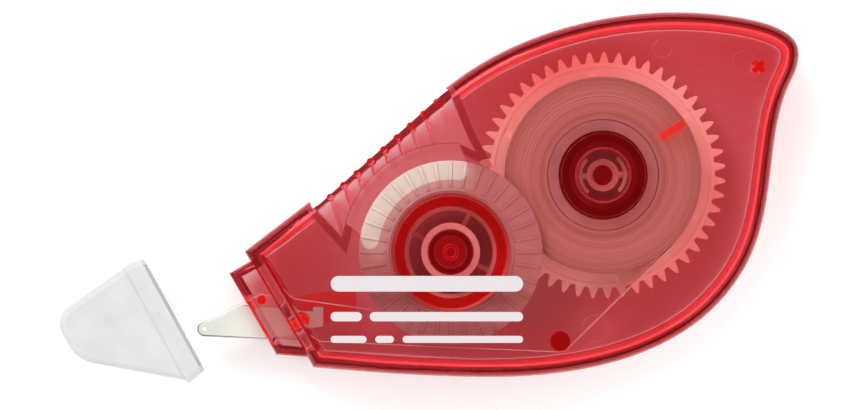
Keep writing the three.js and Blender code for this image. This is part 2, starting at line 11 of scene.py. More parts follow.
import bmesh
import bpy
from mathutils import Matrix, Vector


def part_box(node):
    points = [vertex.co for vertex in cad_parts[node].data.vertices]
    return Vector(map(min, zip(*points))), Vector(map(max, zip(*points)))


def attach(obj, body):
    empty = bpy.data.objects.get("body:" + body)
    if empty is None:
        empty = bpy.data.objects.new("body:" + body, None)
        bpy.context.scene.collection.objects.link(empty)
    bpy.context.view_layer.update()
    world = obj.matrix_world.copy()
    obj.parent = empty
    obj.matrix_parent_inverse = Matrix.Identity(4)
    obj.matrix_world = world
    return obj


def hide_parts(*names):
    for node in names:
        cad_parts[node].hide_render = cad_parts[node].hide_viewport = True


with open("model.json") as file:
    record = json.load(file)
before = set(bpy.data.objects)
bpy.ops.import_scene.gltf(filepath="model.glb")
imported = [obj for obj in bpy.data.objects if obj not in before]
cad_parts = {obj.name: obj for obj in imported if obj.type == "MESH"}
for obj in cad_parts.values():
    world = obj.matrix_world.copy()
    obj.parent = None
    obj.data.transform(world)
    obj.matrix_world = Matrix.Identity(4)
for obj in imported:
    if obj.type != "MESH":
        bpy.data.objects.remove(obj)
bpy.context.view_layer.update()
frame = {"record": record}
record = frame["record"]
scene = bpy.context.scene
MM = 0.001

# ---- places from the frame


def joint_centre(name):
    """A hinge's axis in the XY plane, in millimetres."""
    for joint in record["behaviour"]["joints"]:
        if joint["name"] == name:
            return Vector(joint["pos_m"][:2]) / MM
    raise KeyError(name)


def node_box(name):
    low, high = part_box(name)
    return low / MM, high / MM


def node_radius(name):
    low, high = node_box(name)
    return (high.x - low.x) / 2


def node_heights(name):
    low, high = node_box(name)
    return low.z, high.z


AXIS = joint_centre("supply_spin")
TAKEUP = joint_centre("takeup_spin")
ROLLER = joint_centre("roller_spin")
TAPE_BOTTOM, TAPE_TOP = node_heights("tape_pack")
CASING_TOP = node_heights("front_cover")[1]
PACK_RADIUS = node_radius("tape_pack")
WINDING_RADIUS = node_radius("takeup_winding")
FLANGE_RADIUS = node_radius("finger_wheel")
ROLLER_RADIUS = node_radius("press_roller")
PIN_RADIUS = node_radius("roller_pin")

# ---- casing sizes, in mm

BACK_WALL_TOP = 1.5
FRONT_WALL_BOTTOM = 12.3
SPLIT_Z = 7.0
SPLIT_GAP = 0.12
SIDE_WALL = 1.5
EDGE_ROUND = 2.2
INNER_ROUND = 1.0
NOSE_BOTTOM = 1.3
NOSE_TOP = 12.7
NOSE_WALL = 1.2
NOSE_ROUND = 1.1

# Fittings start this far inside the wall that they stand on.
WALL_BITE = 0.2
BACK_ROOT = BACK_WALL_TOP - WALL_BITE
FRONT_ROOT = FRONT_WALL_BOTTOM + WALL_BITE
NOSE_ROOT = NOSE_BOTTOM + NOSE_WALL - WALL_BITE

# How far a cutter reaches past the solid that it cuts.
OVERSHOOT = 1.0

# Each post is a centre and a radius.
GUIDE_POST = (Vector((-5.54, -21.26)), 1.3)
GUIDE_POST_TOP = 11.2
RETURN_POST = (Vector((-43.76, -16.01)), 0.6)
HOOK_POST = (Vector((-38.59, -18.53)), 0.7)
NOSE_POST_TOP = 11.1
TAIL_PIN = Vector((19.86, 13.91))
TAIL_PIN_TOP = 11.9
SEAT_TOP = 3.3

SUPPLY_AXLE_RADIUS = 1.25
SUPPLY_AXLE_TOP = 8.2
TAKEUP_AXLE_BORE = 2.1
TAKEUP_AXLE_RADIUS = 2.85
TAKEUP_AXLE_TOP = 8.8

WINDOW_INNER_RADIUS = 9.3
WINDOW_OUTER_RADIUS = 13.9

GRIP_START = Vector((-36.34, -3.7))
GRIP_END = Vector((-20.65, 10.31))
GRIP_BUMPS = 9
GRIP_BUMP_RADIUS = 0.45
GRIP_BUMP_STAND = 0.18
BUMP_END = 0.6

SCOOP_RIB_WIDTH = 0.4
SCOOP_RIB_STAND = 0.35
SCOOP_RIB_RUN = Vector((0.3, -0.954)) * 6

FRONT_SCOOP_FLOOR = 11.5
FRONT_PAN_BOTTOM = 10.3
BACK_SCOOP_FLOOR = 0.9
BACK_PAN_TOP = 1.95
PAN_WALL = 1.0

GEAR_BOTTOM = 2.1
GEAR_TOP = 4.1
GEAR_MODULE = 0.6
SUPPLY_TEETH = 51
TAKEUP_TEETH = 22
PRESSURE_ANGLE = math.radians(20)
BACKLASH = 0.18
SUPPLY_TOOTH_ANGLE = math.radians(89.1)

# ---- outlines


def polar(centre, radius, degrees):
    angle = math.radians(degrees)
    return Vector((centre.x + radius * math.cos(angle), centre.y + radius * math.sin(angle)))


def arc(centre, radius, start, end, steps):
    return [polar(centre, radius, start + (end - start) * i / steps) for i in range(steps + 1)]


def circle(centre, radius, steps=96):
    return arc(centre, radius, 0, 360, steps)[:-1]


def bezier(start, first, second, end, steps):
    """Points of a cubic curve, without its start point."""
    curve = []
    for i in range(1, steps + 1):
        t = i / steps
        s = 1 - t
        point = s**3 * Vector(start) + 3 * s * s * t * Vector(first)
        point += 3 * s * t * t * Vector(second) + t**3 * Vector(end)
        curve.append(point)
    return curve


def quadratic(start, control, end, steps):
    """Points of a quadratic curve, without its start point."""
    curve = []
    for i in range(1, steps + 1):
        t = i / steps
        point = (1 - t) ** 2 * Vector(start) + 2 * (1 - t) * t * Vector(control)
        curve.append(point + t * t * Vector(end))
    return curve


def vectors(*pairs):
    return [Vector(pair) for pair in pairs]


# A curve of this length, in mm, gets as many points as this.
CURVE_LENGTH = 38
CURVE_STEPS = 40
FEWEST_STEPS = 10


def body_outline():
    """The body seen from the front, counter-clockwise: shoulder, belly, tail, back, grip edge."""
    curves = [
        ((-20.14, 11.21), (-10.36, 19.11), (4.03, 22.23), (16.64, 20.34)),
        ((16.64, 20.34), (19.83, 19.87), (25.18, 18.8), (25.06, 15.59)),
        ((25.06, 15.59), (24.99, 13.35), (24.01, 12.3), (23.33, 10.44)),
        ((23.33, 10.44), (22.0, 6.85), (21.76, 2.93), (21.27, -0.87)),
        ((21.27, -0.87), (20.45, -7.22), (19.13, -11.7), (14.84, -16.31)),
        ((14.84, -16.31), (7.82, -23.85), (-4.13, -25.9), (-14.48, -25.87)),
        ((-14.48, -25.87), (-21.91, -25.86), (-29.45, -25.3), (-37.1, -24.64)),
    ]
    outline = vectors((-45.94, -9.75), (-37.95, -3.62), (-20.14, 11.21))
    for curve in curves:
        length = (Vector(curve[3]) - Vector(curve[0])).length
        steps = int(CURVE_STEPS * length / CURVE_LENGTH)
        outline += bezier(*curve, max(FEWEST_STEPS, steps))
    return outline[::-1]


BODY = body_outline()
NOSE = vectors(
    (-47.92, -12.58), (-41.87, -22.99), (-37.95, -23.3),
    (-34.5, -23.0), (-40.6, -9.2), (-45.45, -11.15),
)
NOSE_HOLLOW = vectors(
    (-46.3, -13.0), (-41.2, -21.75), (-37.0, -22.2),
    (-32.6, -20.6), (-38.6, -9.6), (-43.4, -11.4),
)
NOSE_SLOT = vectors((-48.0, -15.3), (-45.4, -21.6), (-40.2, -21.6), (-42.6, -15.3))
NOSE_SLOT_BOTTOM = 3.3
NOSE_SLOT_TOP = 10.7


def scoop_outline():
    """The scoop between the grip edge and the finger window."""
    outline = vectors((-39.4, -1.6), (-33.45, -8.0))
    outline += arc(TAKEUP, WINDOW_OUTER_RADIUS + 0.1, 164, 86, 40)
    outline += vectors((-16.35, 3.0), (-17.3, 4.78), (-19.5, 10.06), (-20.6, 12.4))
    return outline


SCOOP = scoop_outline()


def window_outline():
    """The finger window: an arc-shaped slot with rounded ends."""
    outline = arc(TAKEUP, WINDOW_OUTER_RADIUS, 85.5, 164.5, 40)
    outline += [polar(TAKEUP, 12.0, 168), polar(TAKEUP, 11.2, 176)]
    low_end = polar(TAKEUP, WINDOW_INNER_RADIUS + 0.2, 175)
    outline += quadratic(outline[-1], polar(TAKEUP, 10.4, 180), low_end, 8)
    outline += arc(TAKEUP, WINDOW_INNER_RADIUS, 172, 84, 40)
    high_end = polar(TAKEUP, 11.2, 78.4)
    outline += quadratic(outline[-1], polar(TAKEUP, WINDOW_INNER_RADIUS + 0.1, 76.5), high_end, 8)
    return outline


def cross(a, b):
    return a.x * b.y - a.y * b.x


PARALLEL = 1e-5
TURNED_ROUND = -1e-9


def inset(outline, distance):
    """The outline moved inwards by a distance, with the same number of points. Edges that the
    move would turn round are closed up, so neighbouring points may come to share a place."""
    count = len(outline)
    if not distance:
        return [point.copy() for point in outline]
    ways = [(outline[(i + 1) % count] - outline[i]).normalized() for i in range(count)]
    active = list(range(count))

    def meet(first, second):
        """Where the moved lines of two edges meet."""
        a, b = ways[first], ways[second]
        start = outline[first] + Vector((-a.y, a.x)) * distance
        other = outline[second] + Vector((-b.y, b.x)) * distance
        turn = cross(a, b)
        if abs(turn) < PARALLEL:
            side = (Vector((-a.y, a.x)) + Vector((-b.y, b.x))).normalized()
            return outline[second] + side * distance
        return start + a * (cross(other - start, b) / turn)

    while True:
        size = len(active)
        corners = [meet(active[i - 1], active[i]) for i in range(size)]
        lengths = [
            (corners[(i + 1) % size] - corners[i]).dot(ways[active[i]]) for i in range(size)
        ]
        worst = min(range(size), key=lambda i: lengths[i])
        if lengths[worst] >= TURNED_ROUND or size < 4:
            break
        active.pop(worst)
    moved = []
    slot = 0
    for i in range(count):
        while slot < size and active[slot] < i:
            slot += 1
        moved.append(corners[slot % size].copy())
    return moved


# ---- solids


MERGE_DISTANCE = 1e-4
SLIVER = 1e-5


def mesh_object(vertices, faces):
    mesh = bpy.data.meshes.new("solid")
    mesh.from_pydata(vertices, [], faces)
    work = bmesh.new()
    work.from_mesh(mesh)
    bmesh.ops.remove_doubles(work, verts=work.verts, dist=MERGE_DISTANCE)
    bmesh.ops.dissolve_degenerate(work, edges=work.edges, dist=SLIVER)
    bmesh.ops.recalc_face_normals(work, faces=work.faces)
    work.to_mesh(mesh)
    work.free()
    solid = bpy.data.objects.new("solid", mesh)
    scene.collection.objects.link(solid)
    return solid


def loft(rings):
    """A closed solid through rings of the same number of points; rings are (outline, z)."""
    count = len(rings[0][0])
    vertices = [(point.x, point.y, z) for outline, z in rings for point in outline]
    faces = [tuple(reversed(range(count)))]
    for layer in range(len(rings) - 1):
        low, high = layer * count, (layer + 1) * count
        for i in range(count):
            j = (i + 1) % count
            faces.append((low + i, low + j, high + j, high + i))
    top = (len(rings) - 1) * count
    faces.append(tuple(range(top, top + count)))
    return mesh_object(vertices, faces)


def prism(outline, bottom, top):
    return loft([(outline, bottom), (outline, top)])


def rounded(outline, bottom, top, radius, shrink=0.0, steps=7, ends="both"):
    """A prism whose upper and lower edges are quarter rounds."""
    quarter = [math.pi / 2 * i / steps for i in range(steps + 1)]
    rings = []
    if ends in ("both", "bottom"):
        for angle in quarter:
            inward = radius * (1 - math.sin(angle)) + shrink
            rings.append((inset(outline, inward), bottom + radius * (1 - math.cos(angle))))
    else:
        rings.append((inset(outline, shrink), bottom))
    if ends in ("both", "top"):
        for angle in reversed(quarter):
            inward = radius * (1 - math.sin(angle)) + shrink
            rings.append((inset(outline, inward), top - radius * (1 - math.cos(angle))))
    else:
        rings.append((inset(outline, shrink), top))
    return loft(rings)


def lathe(profile, centre, steps):
    """A solid of revolution. The profile is (radius, z), counter-clockwise, closed on itself, or
    on the axis where its first and last radius are 0."""
    on_axis = profile[0][0] == 0 and profile[-1][0] == 0
    vertices = []
    for i in range(steps):
        angle = 2 * math.pi * i / steps
        for radius, z in profile:
            vertices.append(
                (centre.x + radius * math.cos(angle), centre.y + radius * math.sin(angle), z)
            )
    size = len(profile)
    spans = size - 1 if on_axis else size
    faces = []
    for i in range(steps):
        here, there = i * size, ((i + 1) % steps) * size
        for k in range(spans):
            m = (k + 1) % size
            faces.append((here + k, there + k, there + m, here + m))
    return mesh_object(vertices, faces)


CORNER_STEPS = 3


def corner_round(radius_at, z_at, radius, start, end):
    """Profile points of a small rounded corner whose circle is centred on radius_at, z_at."""
    points = []
    for i in range(CORNER_STEPS + 1):
        angle = math.radians(start + (end - start) * i / CORNER_STEPS)
        points.append((radius_at + radius * math.cos(angle), z_at + radius * math.sin(angle)))
    return points


def ring(inner, outer, bottom, top, centre=AXIS, steps=96, edge=0.08):
    """A tube with slightly rounded edges."""
    profile = corner_round(outer - edge, bottom + edge, edge, -90, 0)
    profile += corner_round(outer - edge, top - edge, edge, 0, 90)
    profile += corner_round(inner + edge, top - edge, edge, 90, 180)
    profile += corner_round(inner + edge, bottom + edge, edge, 180, 270)
    return lathe(profile, centre, steps)


def disc(radius, bottom, top, centre=AXIS, steps=48, edge=0.08):
    """A round post with slightly rounded edges."""
    profile = [(0, bottom)] + corner_round(radius - edge, bottom + edge, edge, -90, 0)
    profile += corner_round(radius - edge, top - edge, edge, 0, 90) + [(0, top)]
    return lathe(profile, centre, steps)


END_STEPS = 10


def bar_outline(start, end, width, round_ends=False):
    along = (end - start).normalized()
    side = Vector((-along.y, along.x)) * width / 2
    if not round_ends:
        return [start - side, end - side, end + side, start + side]
    heading = math.degrees(math.atan2(along.y, along.x))
    far = arc(end, width / 2, heading - 90, heading + 90, END_STEPS)
    return far + arc(start, width / 2, heading + 90, heading + 270, END_STEPS)


def bar(start, end, width, bottom, top, edge=0.06):
    return rounded(bar_outline(start, end, width), bottom, top, edge, steps=2)


def spoke(inner, outer, width, degrees, bottom, top, centre=AXIS, edge=0.06):
    start, end = polar(centre, inner, degrees), polar(centre, outer, degrees)
    return bar(start, end, width, bottom, top, edge)


def boolean(target, other, operation):
    modifier = target.modifiers.new("boolean", "BOOLEAN")
    modifier.operation = operation
    modifier.solver = "MANIFOLD"
    modifier.object = other
    bpy.context.view_layer.update()
    graph = bpy.context.evaluated_depsgraph_get()
    mesh = bpy.data.meshes.new_from_object(target.evaluated_get(graph))
    target.modifiers.clear()
    old = target.data
    target.data = mesh
    bpy.data.meshes.remove(old)
    other_mesh = other.data
    bpy.data.objects.remove(other)
    bpy.data.meshes.remove(other_mesh)
    return target


def joined(solids):
    whole = solids[0]
    for solid in solids[1:]:
        whole = boolean(whole, solid, "UNION")
    return whole


def cut(target, *cutters):
    for cutter in cutters:
        target = boolean(target, cutter, "DIFFERENCE")
    return target


def shared(target, other):
    return boolean(target, other, "INTERSECT")


def collected(solids):
    """Solids that stay apart but make one piece."""
    whole = bmesh.new()
    for solid in solids:
        whole.from_mesh(solid.data)
    first = solids[0]
    whole.to_mesh(first.data)
    whole.free()
    for solid in solids[1:]:
        mesh = solid.data
        bpy.data.objects.remove(solid)
        bpy.data.meshes.remove(mesh)
    return first


FLAT_ANGLE = math.radians(0.3)
SHARP_ANGLE = math.radians(32)


def finish_piece(solid, name, body, nodes, material):
    """Scales a solid to metres, names it, smooths it and rides it on its body."""
    solid.name = name
    solid.data.name = name
    mesh = solid.data
    work = bmesh.new()
    work.from_mesh(mesh)
    bmesh.ops.dissolve_limit(work, angle_limit=FLAT_ANGLE, verts=work.verts, edges=work.edges)
    bmesh.ops.remove_doubles(work, verts=work.verts, dist=MERGE_DISTANCE)
    bmesh.ops.scale(work, vec=(MM, MM, MM), verts=work.verts)
    work.to_mesh(mesh)
    work.free()
    for polygon in mesh.polygons:
        polygon.use_smooth = True
    mesh.set_sharp_from_angle(angle=SHARP_ANGLE)
    mesh.materials.clear()
    mesh.materials.append(material)
    weighted = solid.modifiers.new("weighted_normals", "WEIGHTED_NORMAL")
    weighted.keep_sharp = True
    weighted.weight = 100
    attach(solid, body)
    if nodes:
        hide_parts(*nodes)
    return solid


# ---- materials


class Nodes:
    """A small wrapper that makes and joins the nodes of one material."""

    def __init__(self, name):
        self.material = bpy.data.materials.new(name)
        self.material.use_nodes = True
        self.tree = self.material.node_tree
        self.shader = self.tree.nodes["Principled BSDF"]
        self.output = self.tree.nodes["Material Output"]

    def add(self, kind, **values):
        node = self.tree.nodes.new(kind)
        for key, value in values.items():
            setattr(node, key, value)
        return node

    def join(self, source, target):
        self.tree.links.new(source, target)

    def set(self, socket, value):
        self.shader.inputs[socket].default_value = value

    def place(self):
        """Positions in millimetres that move with the piece."""
        coordinates = self.add("ShaderNodeTexCoord")
        scale = self.add("ShaderNodeVectorMath", operation="SCALE")
        scale.inputs["Scale"].default_value = 1 / MM
        self.join(coordinates.outputs["Object"], scale.inputs[0])
        return scale.outputs[0]

    def noise(self, place, scale, detail=3.0):
        node = self.add("ShaderNodeTexNoise")
        node.inputs["Scale"].default_value = scale
        node.inputs["Detail"].default_value = detail
        self.join(place, node.inputs["Vector"])
        return node.outputs["Fac"]

    def ring_noise(self, radius, scale, detail):
        """Noise that changes with the distance from an axis only."""
        node = self.add("ShaderNodeTexNoise", noise_dimensions="1D")
        node.inputs["Scale"].default_value = scale
        node.inputs["Detail"].default_value = detail
        self.join(radius, node.inputs["W"])
        return node.outputs["Fac"]

    def range(self, value, low, high):
        """The middle part of a noise's values, spread between low and high."""
        node = self.add("ShaderNodeMapRange")
        node.inputs["From Min"].default_value = 0.3
        node.inputs["From Max"].default_value = 0.7
        node.inputs["To Min"].default_value = low
        node.inputs["To Max"].default_value = high
        self.join(value, node.inputs["Value"])
        return node.outputs["Result"]

    def blend(self, factor, first, second):
        node = self.add("ShaderNodeMix", data_type="RGBA")
        node.inputs["A"].default_value = (*first, 1)
        node.inputs["B"].default_value = (*second, 1)
        self.join(factor, node.inputs["Factor"])
        return node.outputs["Result"]

    def bump(self, height, strength, distance):
        node = self.add("ShaderNodeBump")
        node.inputs["Strength"].default_value = strength
        node.inputs["Distance"].default_value = distance
        self.join(height, node.inputs["Height"])
        self.join(node.outputs["Normal"], self.shader.inputs["Normal"])

    def radius_from(self, place, centre):
        """Distance from a vertical axis, in millimetres."""
        apart = self.add("ShaderNodeVectorMath", operation="SUBTRACT")
        apart.inputs[1].default_value = (centre.x, centre.y, 0)
        self.join(place, apart.inputs[0])
        flat = self.add("ShaderNodeVectorMath", operation="MULTIPLY")
        flat.inputs[1].default_value = (1, 1, 0)
        self.join(apart.outputs[0], flat.inputs[0])
        length = self.add("ShaderNodeVectorMath", operation="LENGTH")
        self.join(flat.outputs[0], length.inputs[0])
        return length.outputs["Value"]


CLEAR_TINT = (0.99, 0.98, 0.98, 1)


def clear_plastic(name, absorption, glow, density=500.0):
    """Clear moulded plastic. Lamps and diffuse light pass straight through its faces, and the
    volume tints them. The glow stands for the light that the pigment scatters inside the walls."""
    nodes = Nodes(name)
    nodes.set("Base Color", CLEAR_TINT)
    # The low reflection level and its red tint are painted shade in the reflections: they stand
    # for a dark, red-lit floor round the object, so the rims show deep red where they would
    # reflect the pale floor.
    nodes.set("Specular IOR Level", 0.1)
    nodes.set("Specular Tint", (1, 0.25, 0.3, 1))
    nodes.set("IOR", 1.5)
    nodes.set("Transmission Weight", 1.0)
    nodes.set("Emission Color", (*glow, 1))
    nodes.set("Emission Strength", 1.0)
    place = nodes.place()
    ripple = nodes.noise(place, scale=0.22, detail=2.0)
    haze = nodes.range(nodes.noise(place, scale=1.6), low=0.015, high=0.048)
    nodes.join(haze, nodes.shader.inputs["Roughness"])
    nodes.bump(ripple, strength=0.3, distance=0.00004)
    path = nodes.add("ShaderNodeLightPath")
    either = nodes.add("ShaderNodeMath", operation="MAXIMUM")
    nodes.join(path.outputs["Is Shadow Ray"], either.inputs[0])
    nodes.join(path.outputs["Is Diffuse Ray"], either.inputs[1])
    clear = nodes.add("ShaderNodeBsdfTransparent")
    clear.inputs["Color"].default_value = CLEAR_TINT
    mix = nodes.add("ShaderNodeMixShader")
    nodes.join(either.outputs[0], mix.inputs[0])
    nodes.join(nodes.shader.outputs[0], mix.inputs[1])
    nodes.join(clear.outputs[0], mix.inputs[2])
    nodes.join(mix.outputs[0], nodes.output.inputs["Surface"])
    depth = nodes.add("ShaderNodeVolumeAbsorption")
    depth.inputs["Color"].default_value = (*absorption, 1)
    depth.inputs["Density"].default_value = density
    nodes.join(depth.outputs[0], nodes.output.inputs["Volume"])
    return nodes.material


def moulded(name, low, high, roughness, scatter=0.0, **settings):
    """Moulded plastic with faint clouding and satin grain. Settings are shader values by socket,
    with underscores for spaces."""
    nodes = Nodes(name)
    place = nodes.place()
    cloud = nodes.range(nodes.noise(place, scale=0.35, detail=4.0), 0, 1)
    nodes.join(nodes.blend(cloud, low, high), nodes.shader.inputs["Base Color"])
    fine = nodes.noise(place, scale=9.0, detail=2.0)
    satin = nodes.range(fine, low=roughness * 0.85, high=roughness * 1.2)
    nodes.join(satin, nodes.shader.inputs["Roughness"])
    nodes.bump(fine, strength=0.5, distance=0.00002)
    if scatter:
        nodes.set("Subsurface Weight", scatter)
        nodes.set("Subsurface Scale", 0.002)
        nodes.set("Subsurface Radius", (1.0, 0.7, 0.6))
    for socket, value in settings.items():
        nodes.set(socket.replace("_", " "), value)
    return nodes.material


def wound_film(name, centre, dark, light):
    """The edges of many turns of film: fine rings with broader bands of tone."""
    nodes = Nodes(name)
    radius = nodes.radius_from(nodes.place(), centre)
    rings = nodes.ring_noise(radius, scale=5.2, detail=6.0)
    bands = nodes.ring_noise(radius, scale=0.45, detail=2.0)
    total = nodes.add("ShaderNodeMath", operation="ADD")
    nodes.join(nodes.range(rings, low=0, high=0.5), total.inputs[0])
    nodes.join(nodes.range(bands, low=0, high=0.6), total.inputs[1])
    nodes.join(nodes.blend(total.outputs[0], dark, light), nodes.shader.inputs["Base Color"])
    nodes.join(nodes.range(rings, low=0.45, high=0.65), nodes.shader.inputs["Roughness"])
    nodes.bump(rings, strength=0.6, distance=0.00006)
    return nodes.material


def printed(name, colour):
    """Matt ink with a fine speckle."""
    nodes = Nodes(name)
    speckle = nodes.noise(nodes.place(), scale=14.0, detail=2.0)
    darker = tuple(channel * 0.93 for channel in colour)
    tone = nodes.blend(nodes.range(speckle, 0, 1), darker, colour)
    nodes.join(tone, nodes.shader.inputs["Base Color"])
    nodes.join(nodes.range(speckle, low=0.45, high=0.6), nodes.shader.inputs["Roughness"])
    nodes.bump(speckle, strength=0.3, distance=0.00001)
    return nodes.material


# Copies of one red plastic, each with its own painted glow that paints light into its pieces:
# strongest on the rib and the pins, then the take-up collar, guide post and seat, then the thick
# of the walls, then the supply collar, axles and grip ribs, and faintest on the shells.
RED = clear_plastic("red_clear", (0.74, 0.24, 0.3), (0.03, 0.0005, 0.001))
RED_EDGE = clear_plastic("red_clear_edge", (0.985, 0.05, 0.07), (0.07, 0.001, 0.0015), 4000.0)
RED_DEEP = clear_plastic("red_clear_deep", (0.8, 0.05, 0.07), (0.045, 0.0005, 0.0005))
# Painted shade: a dense dark red with almost no glow, for the spools' middles.
RED_PAINTED_SHADE = clear_plastic("red_clear_painted_shade", (0.5, 0.05, 0.05), (0.002, 0.0005, 0.0005), 1500.0)
RED_WARM_GLOW = clear_plastic("red_clear_warm_glow", (0.84, 0.08, 0.07), (0.11, 0.003, 0.001))
RED_BRIGHT_GLOW = clear_plastic("red_clear_bright_glow", (0.9, 0.1, 0.07), (0.26, 0.012, 0.004))
# The cap's natural plastic with a painted glow: a faint white emission that brightens it evenly.
CAP_CLEAR_PAINTED_GLOW = moulded(
    "cap_natural_painted_glow", (0.46, 0.46, 0.46), (0.51, 0.51, 0.515), 0.45,
    Specular_IOR_Level=0.2, Alpha=0.7, Emission_Color=(1, 1, 1, 1), Emission_Strength=0.12,
)
PALE = moulded("pale_plastic", (0.95, 0.87, 0.75), (0.98, 0.91, 0.8), 0.4, 0.15)
# The spools' pale plastic with a painted glow: an orange-red emission that stands for the light
# reaching the gear through the red casing.
GEAR_PALE_PAINTED_GLOW = moulded(
    "gear_plastic_painted_glow", (0.95, 0.87, 0.75), (0.98, 0.91, 0.8), 0.4, 0.15,
    Emission_Color=(1, 0.36, 0.26, 1), Emission_Strength=0.16,
)
# The finger wheel, the supply core and the clutch arms are the spools' pale plastic, painted
# darker as shade: the wheel and the core at about half its brightness, the arms at about four
# fifths.
WHEEL_PAINTED_SHADE = moulded("wheel_plastic_painted_shade", (0.48, 0.4, 0.345), (0.55, 0.455, 0.4), 0.4, 0.15)
CORE = moulded("core_plastic_painted_shade", (0.4, 0.34, 0.29), (0.48, 0.41, 0.36), 0.4, 0.15)
ARMS_PAINTED_SHADE = moulded("clutch_plastic_painted_shade", (0.72, 0.5, 0.43), (0.78, 0.55, 0.48), 0.4, 0.15)
TIP = moulded("tip_plastic", (0.5, 0.5, 0.45), (0.55, 0.55, 0.5), 0.42, 0.2)
PACK_FILM = wound_film("pack_film", AXIS, (0.32, 0.22, 0.165), (0.65, 0.47, 0.36))
WINDING_FILM = wound_film("winding_film", TAKEUP, (0.5, 0.43, 0.35), (0.7, 0.64, 0.56))
TAPE_WHITE = moulded("tape_white", (0.72, 0.7, 0.67), (0.8, 0.78, 0.75), 0.5)
TAPE_CARRIER = moulded("tape_carrier", (0.7, 0.66, 0.58), (0.78, 0.74, 0.66), 0.35)
INK = printed("pale_ink", (0.52, 0.48, 0.49))

# ---- casing

BOX_SIDE = 220.0


def slab(z_from, z_to):
    half = BOX_SIDE / 2
    return prism(vectors((-half, -half), (half, -half), (half, half), (-half, half)), z_from, z_to)


def front_half(solid):
    return cut(solid, slab(-OVERSHOOT, SPLIT_Z + SPLIT_GAP / 2))


def back_half(solid):
    return cut(solid, slab(SPLIT_Z - SPLIT_GAP / 2, CASING_TOP + OVERSHOOT))


GRIP_ALONG = (GRIP_END - GRIP_START).normalized()
GRIP_INWARD = Vector((GRIP_ALONG.y, -GRIP_ALONG.x))


def grip_point(index):
    """The bumps are evenly spaced, with a little more room before the first one."""
    return GRIP_START.lerp(GRIP_END, (index + 0.7) / (GRIP_BUMPS + 0.2))


def grip_wedge():
    """What the grip is set in from the body's edge by."""
    return vectors(
        (-37.25, -4.3), GRIP_START, GRIP_END, (-19.9, 10.9), (-23.0, 14.0), (-39.0, -0.6)
    )


def through(outline):
    """A cutter that goes right through the casing."""
    return prism(outline, -OVERSHOOT, CASING_TOP + OVERSHOOT)


def grip_bumps():
    bumps = []
    for index in range(GRIP_BUMPS):
        centre = grip_point(index) + GRIP_INWARD * (GRIP_BUMP_RADIUS - GRIP_BUMP_STAND)
        bumps.append(disc(GRIP_BUMP_RADIUS, 0, CASING_TOP, centre, 24))
    reach = rounded(BODY, BUMP_END, CASING_TOP - BUMP_END, EDGE_ROUND)
    return shared(joined(bumps), reach)


def scoop_ribs(bottom, top):
    """Ribs that run from the grip into the scoop and stop at the finger window."""
    ribs = []
    for index in range(GRIP_BUMPS - 1):
        start = grip_point(index) + GRIP_INWARD * 0.4
        ribs.append(bar(start, start + SCOOP_RIB_RUN, SCOOP_RIB_WIDTH, bottom, top, edge=0.1))
    low, high = bottom - OVERSHOOT, top + OVERSHOOT
    ribs = shared(joined(ribs), prism(SCOOP, low, high))
    keep_out = prism(circle(TAKEUP, WINDOW_OUTER_RADIUS), low, high)
    return cut(ribs, prism(window_outline(), low, high), keep_out)


def casing_block():
    body = rounded(BODY, 0, CASING_TOP, EDGE_ROUND)
    nose = rounded(NOSE, NOSE_BOTTOM, NOSE_TOP, NOSE_ROUND)
    return cut(joined([body, nose]), through(grip_wedge()))


def casing_hollow():
    body = rounded(BODY, BACK_WALL_TOP, FRONT_WALL_BOTTOM, INNER_ROUND, SIDE_WALL)
    nose = prism(NOSE_HOLLOW, NOSE_BOTTOM + NOSE_WALL, NOSE_TOP - NOSE_WALL)
    return joined([body, nose, prism(NOSE_SLOT, NOSE_SLOT_BOTTOM, NOSE_SLOT_TOP)])


def pan(bottom, top):
    return shared(prism(inset(SCOOP, -PAN_WALL), bottom, top), casing_block())


SUPPLY_COLLAR_BOTTOM = 5.6
TAKEUP_COLLAR_BOTTOM = 5.2
TAKEUP_PEG_BOTTOM = 9.4
COLLAR_WALL_BOTTOM = FRONT_WALL_BOTTOM - 1.9


def supply_collar():
    """The collar that hangs from the front wall, which is thicker inside it."""
    collar = ring(4.3, 5.4, SUPPLY_COLLAR_BOTTOM, FRONT_ROOT, edge=0.15)
    return joined([collar, ring(3.25, 4.5, COLLAR_WALL_BOTTOM, FRONT_ROOT, edge=0.1)])


def takeup_collar():
    """The take-up spool's collar, with a small hollow peg in its middle."""
    return collected([
        ring(5.85, 7.2, TAKEUP_COLLAR_BOTTOM, FRONT_ROOT, TAKEUP, edge=0.15),
        ring(0.6, 1.05, TAKEUP_PEG_BOTTOM, FRONT_ROOT, TAKEUP, 48, 0.1),
    ])


FRONT_RIB_ANGLE = 33
FRONT_RIB_BOTTOM = 9.8


def front_rib():
    """A short rib over the tape pack, made bright by the strongest painted glow."""
    start, end = polar(AXIS, 9.2, FRONT_RIB_ANGLE), polar(AXIS, 11.9, FRONT_RIB_ANGLE)
    return rounded(bar_outline(start, end, 1.15, True), FRONT_RIB_BOTTOM, FRONT_ROOT, 0.1, steps=2)


MARK_WIDTH = 0.14
MARK_BOTTOM = FRONT_WALL_BOTTOM - 0.12


def ejector_marks():
    """Faint rings that the moulding pins leave on the inner face of the front wall."""
    marks = []
    for x, y, radius in ((18.0, 14.5, 1.5), (-1.0, -19.6, 1.8), (7.5, 16.2, 1.3)):
        centre = Vector((x, y))
        marks.append(ring(radius - MARK_WIDTH, radius, MARK_BOTTOM, FRONT_ROOT, centre, 48, 0.04))
    return marks


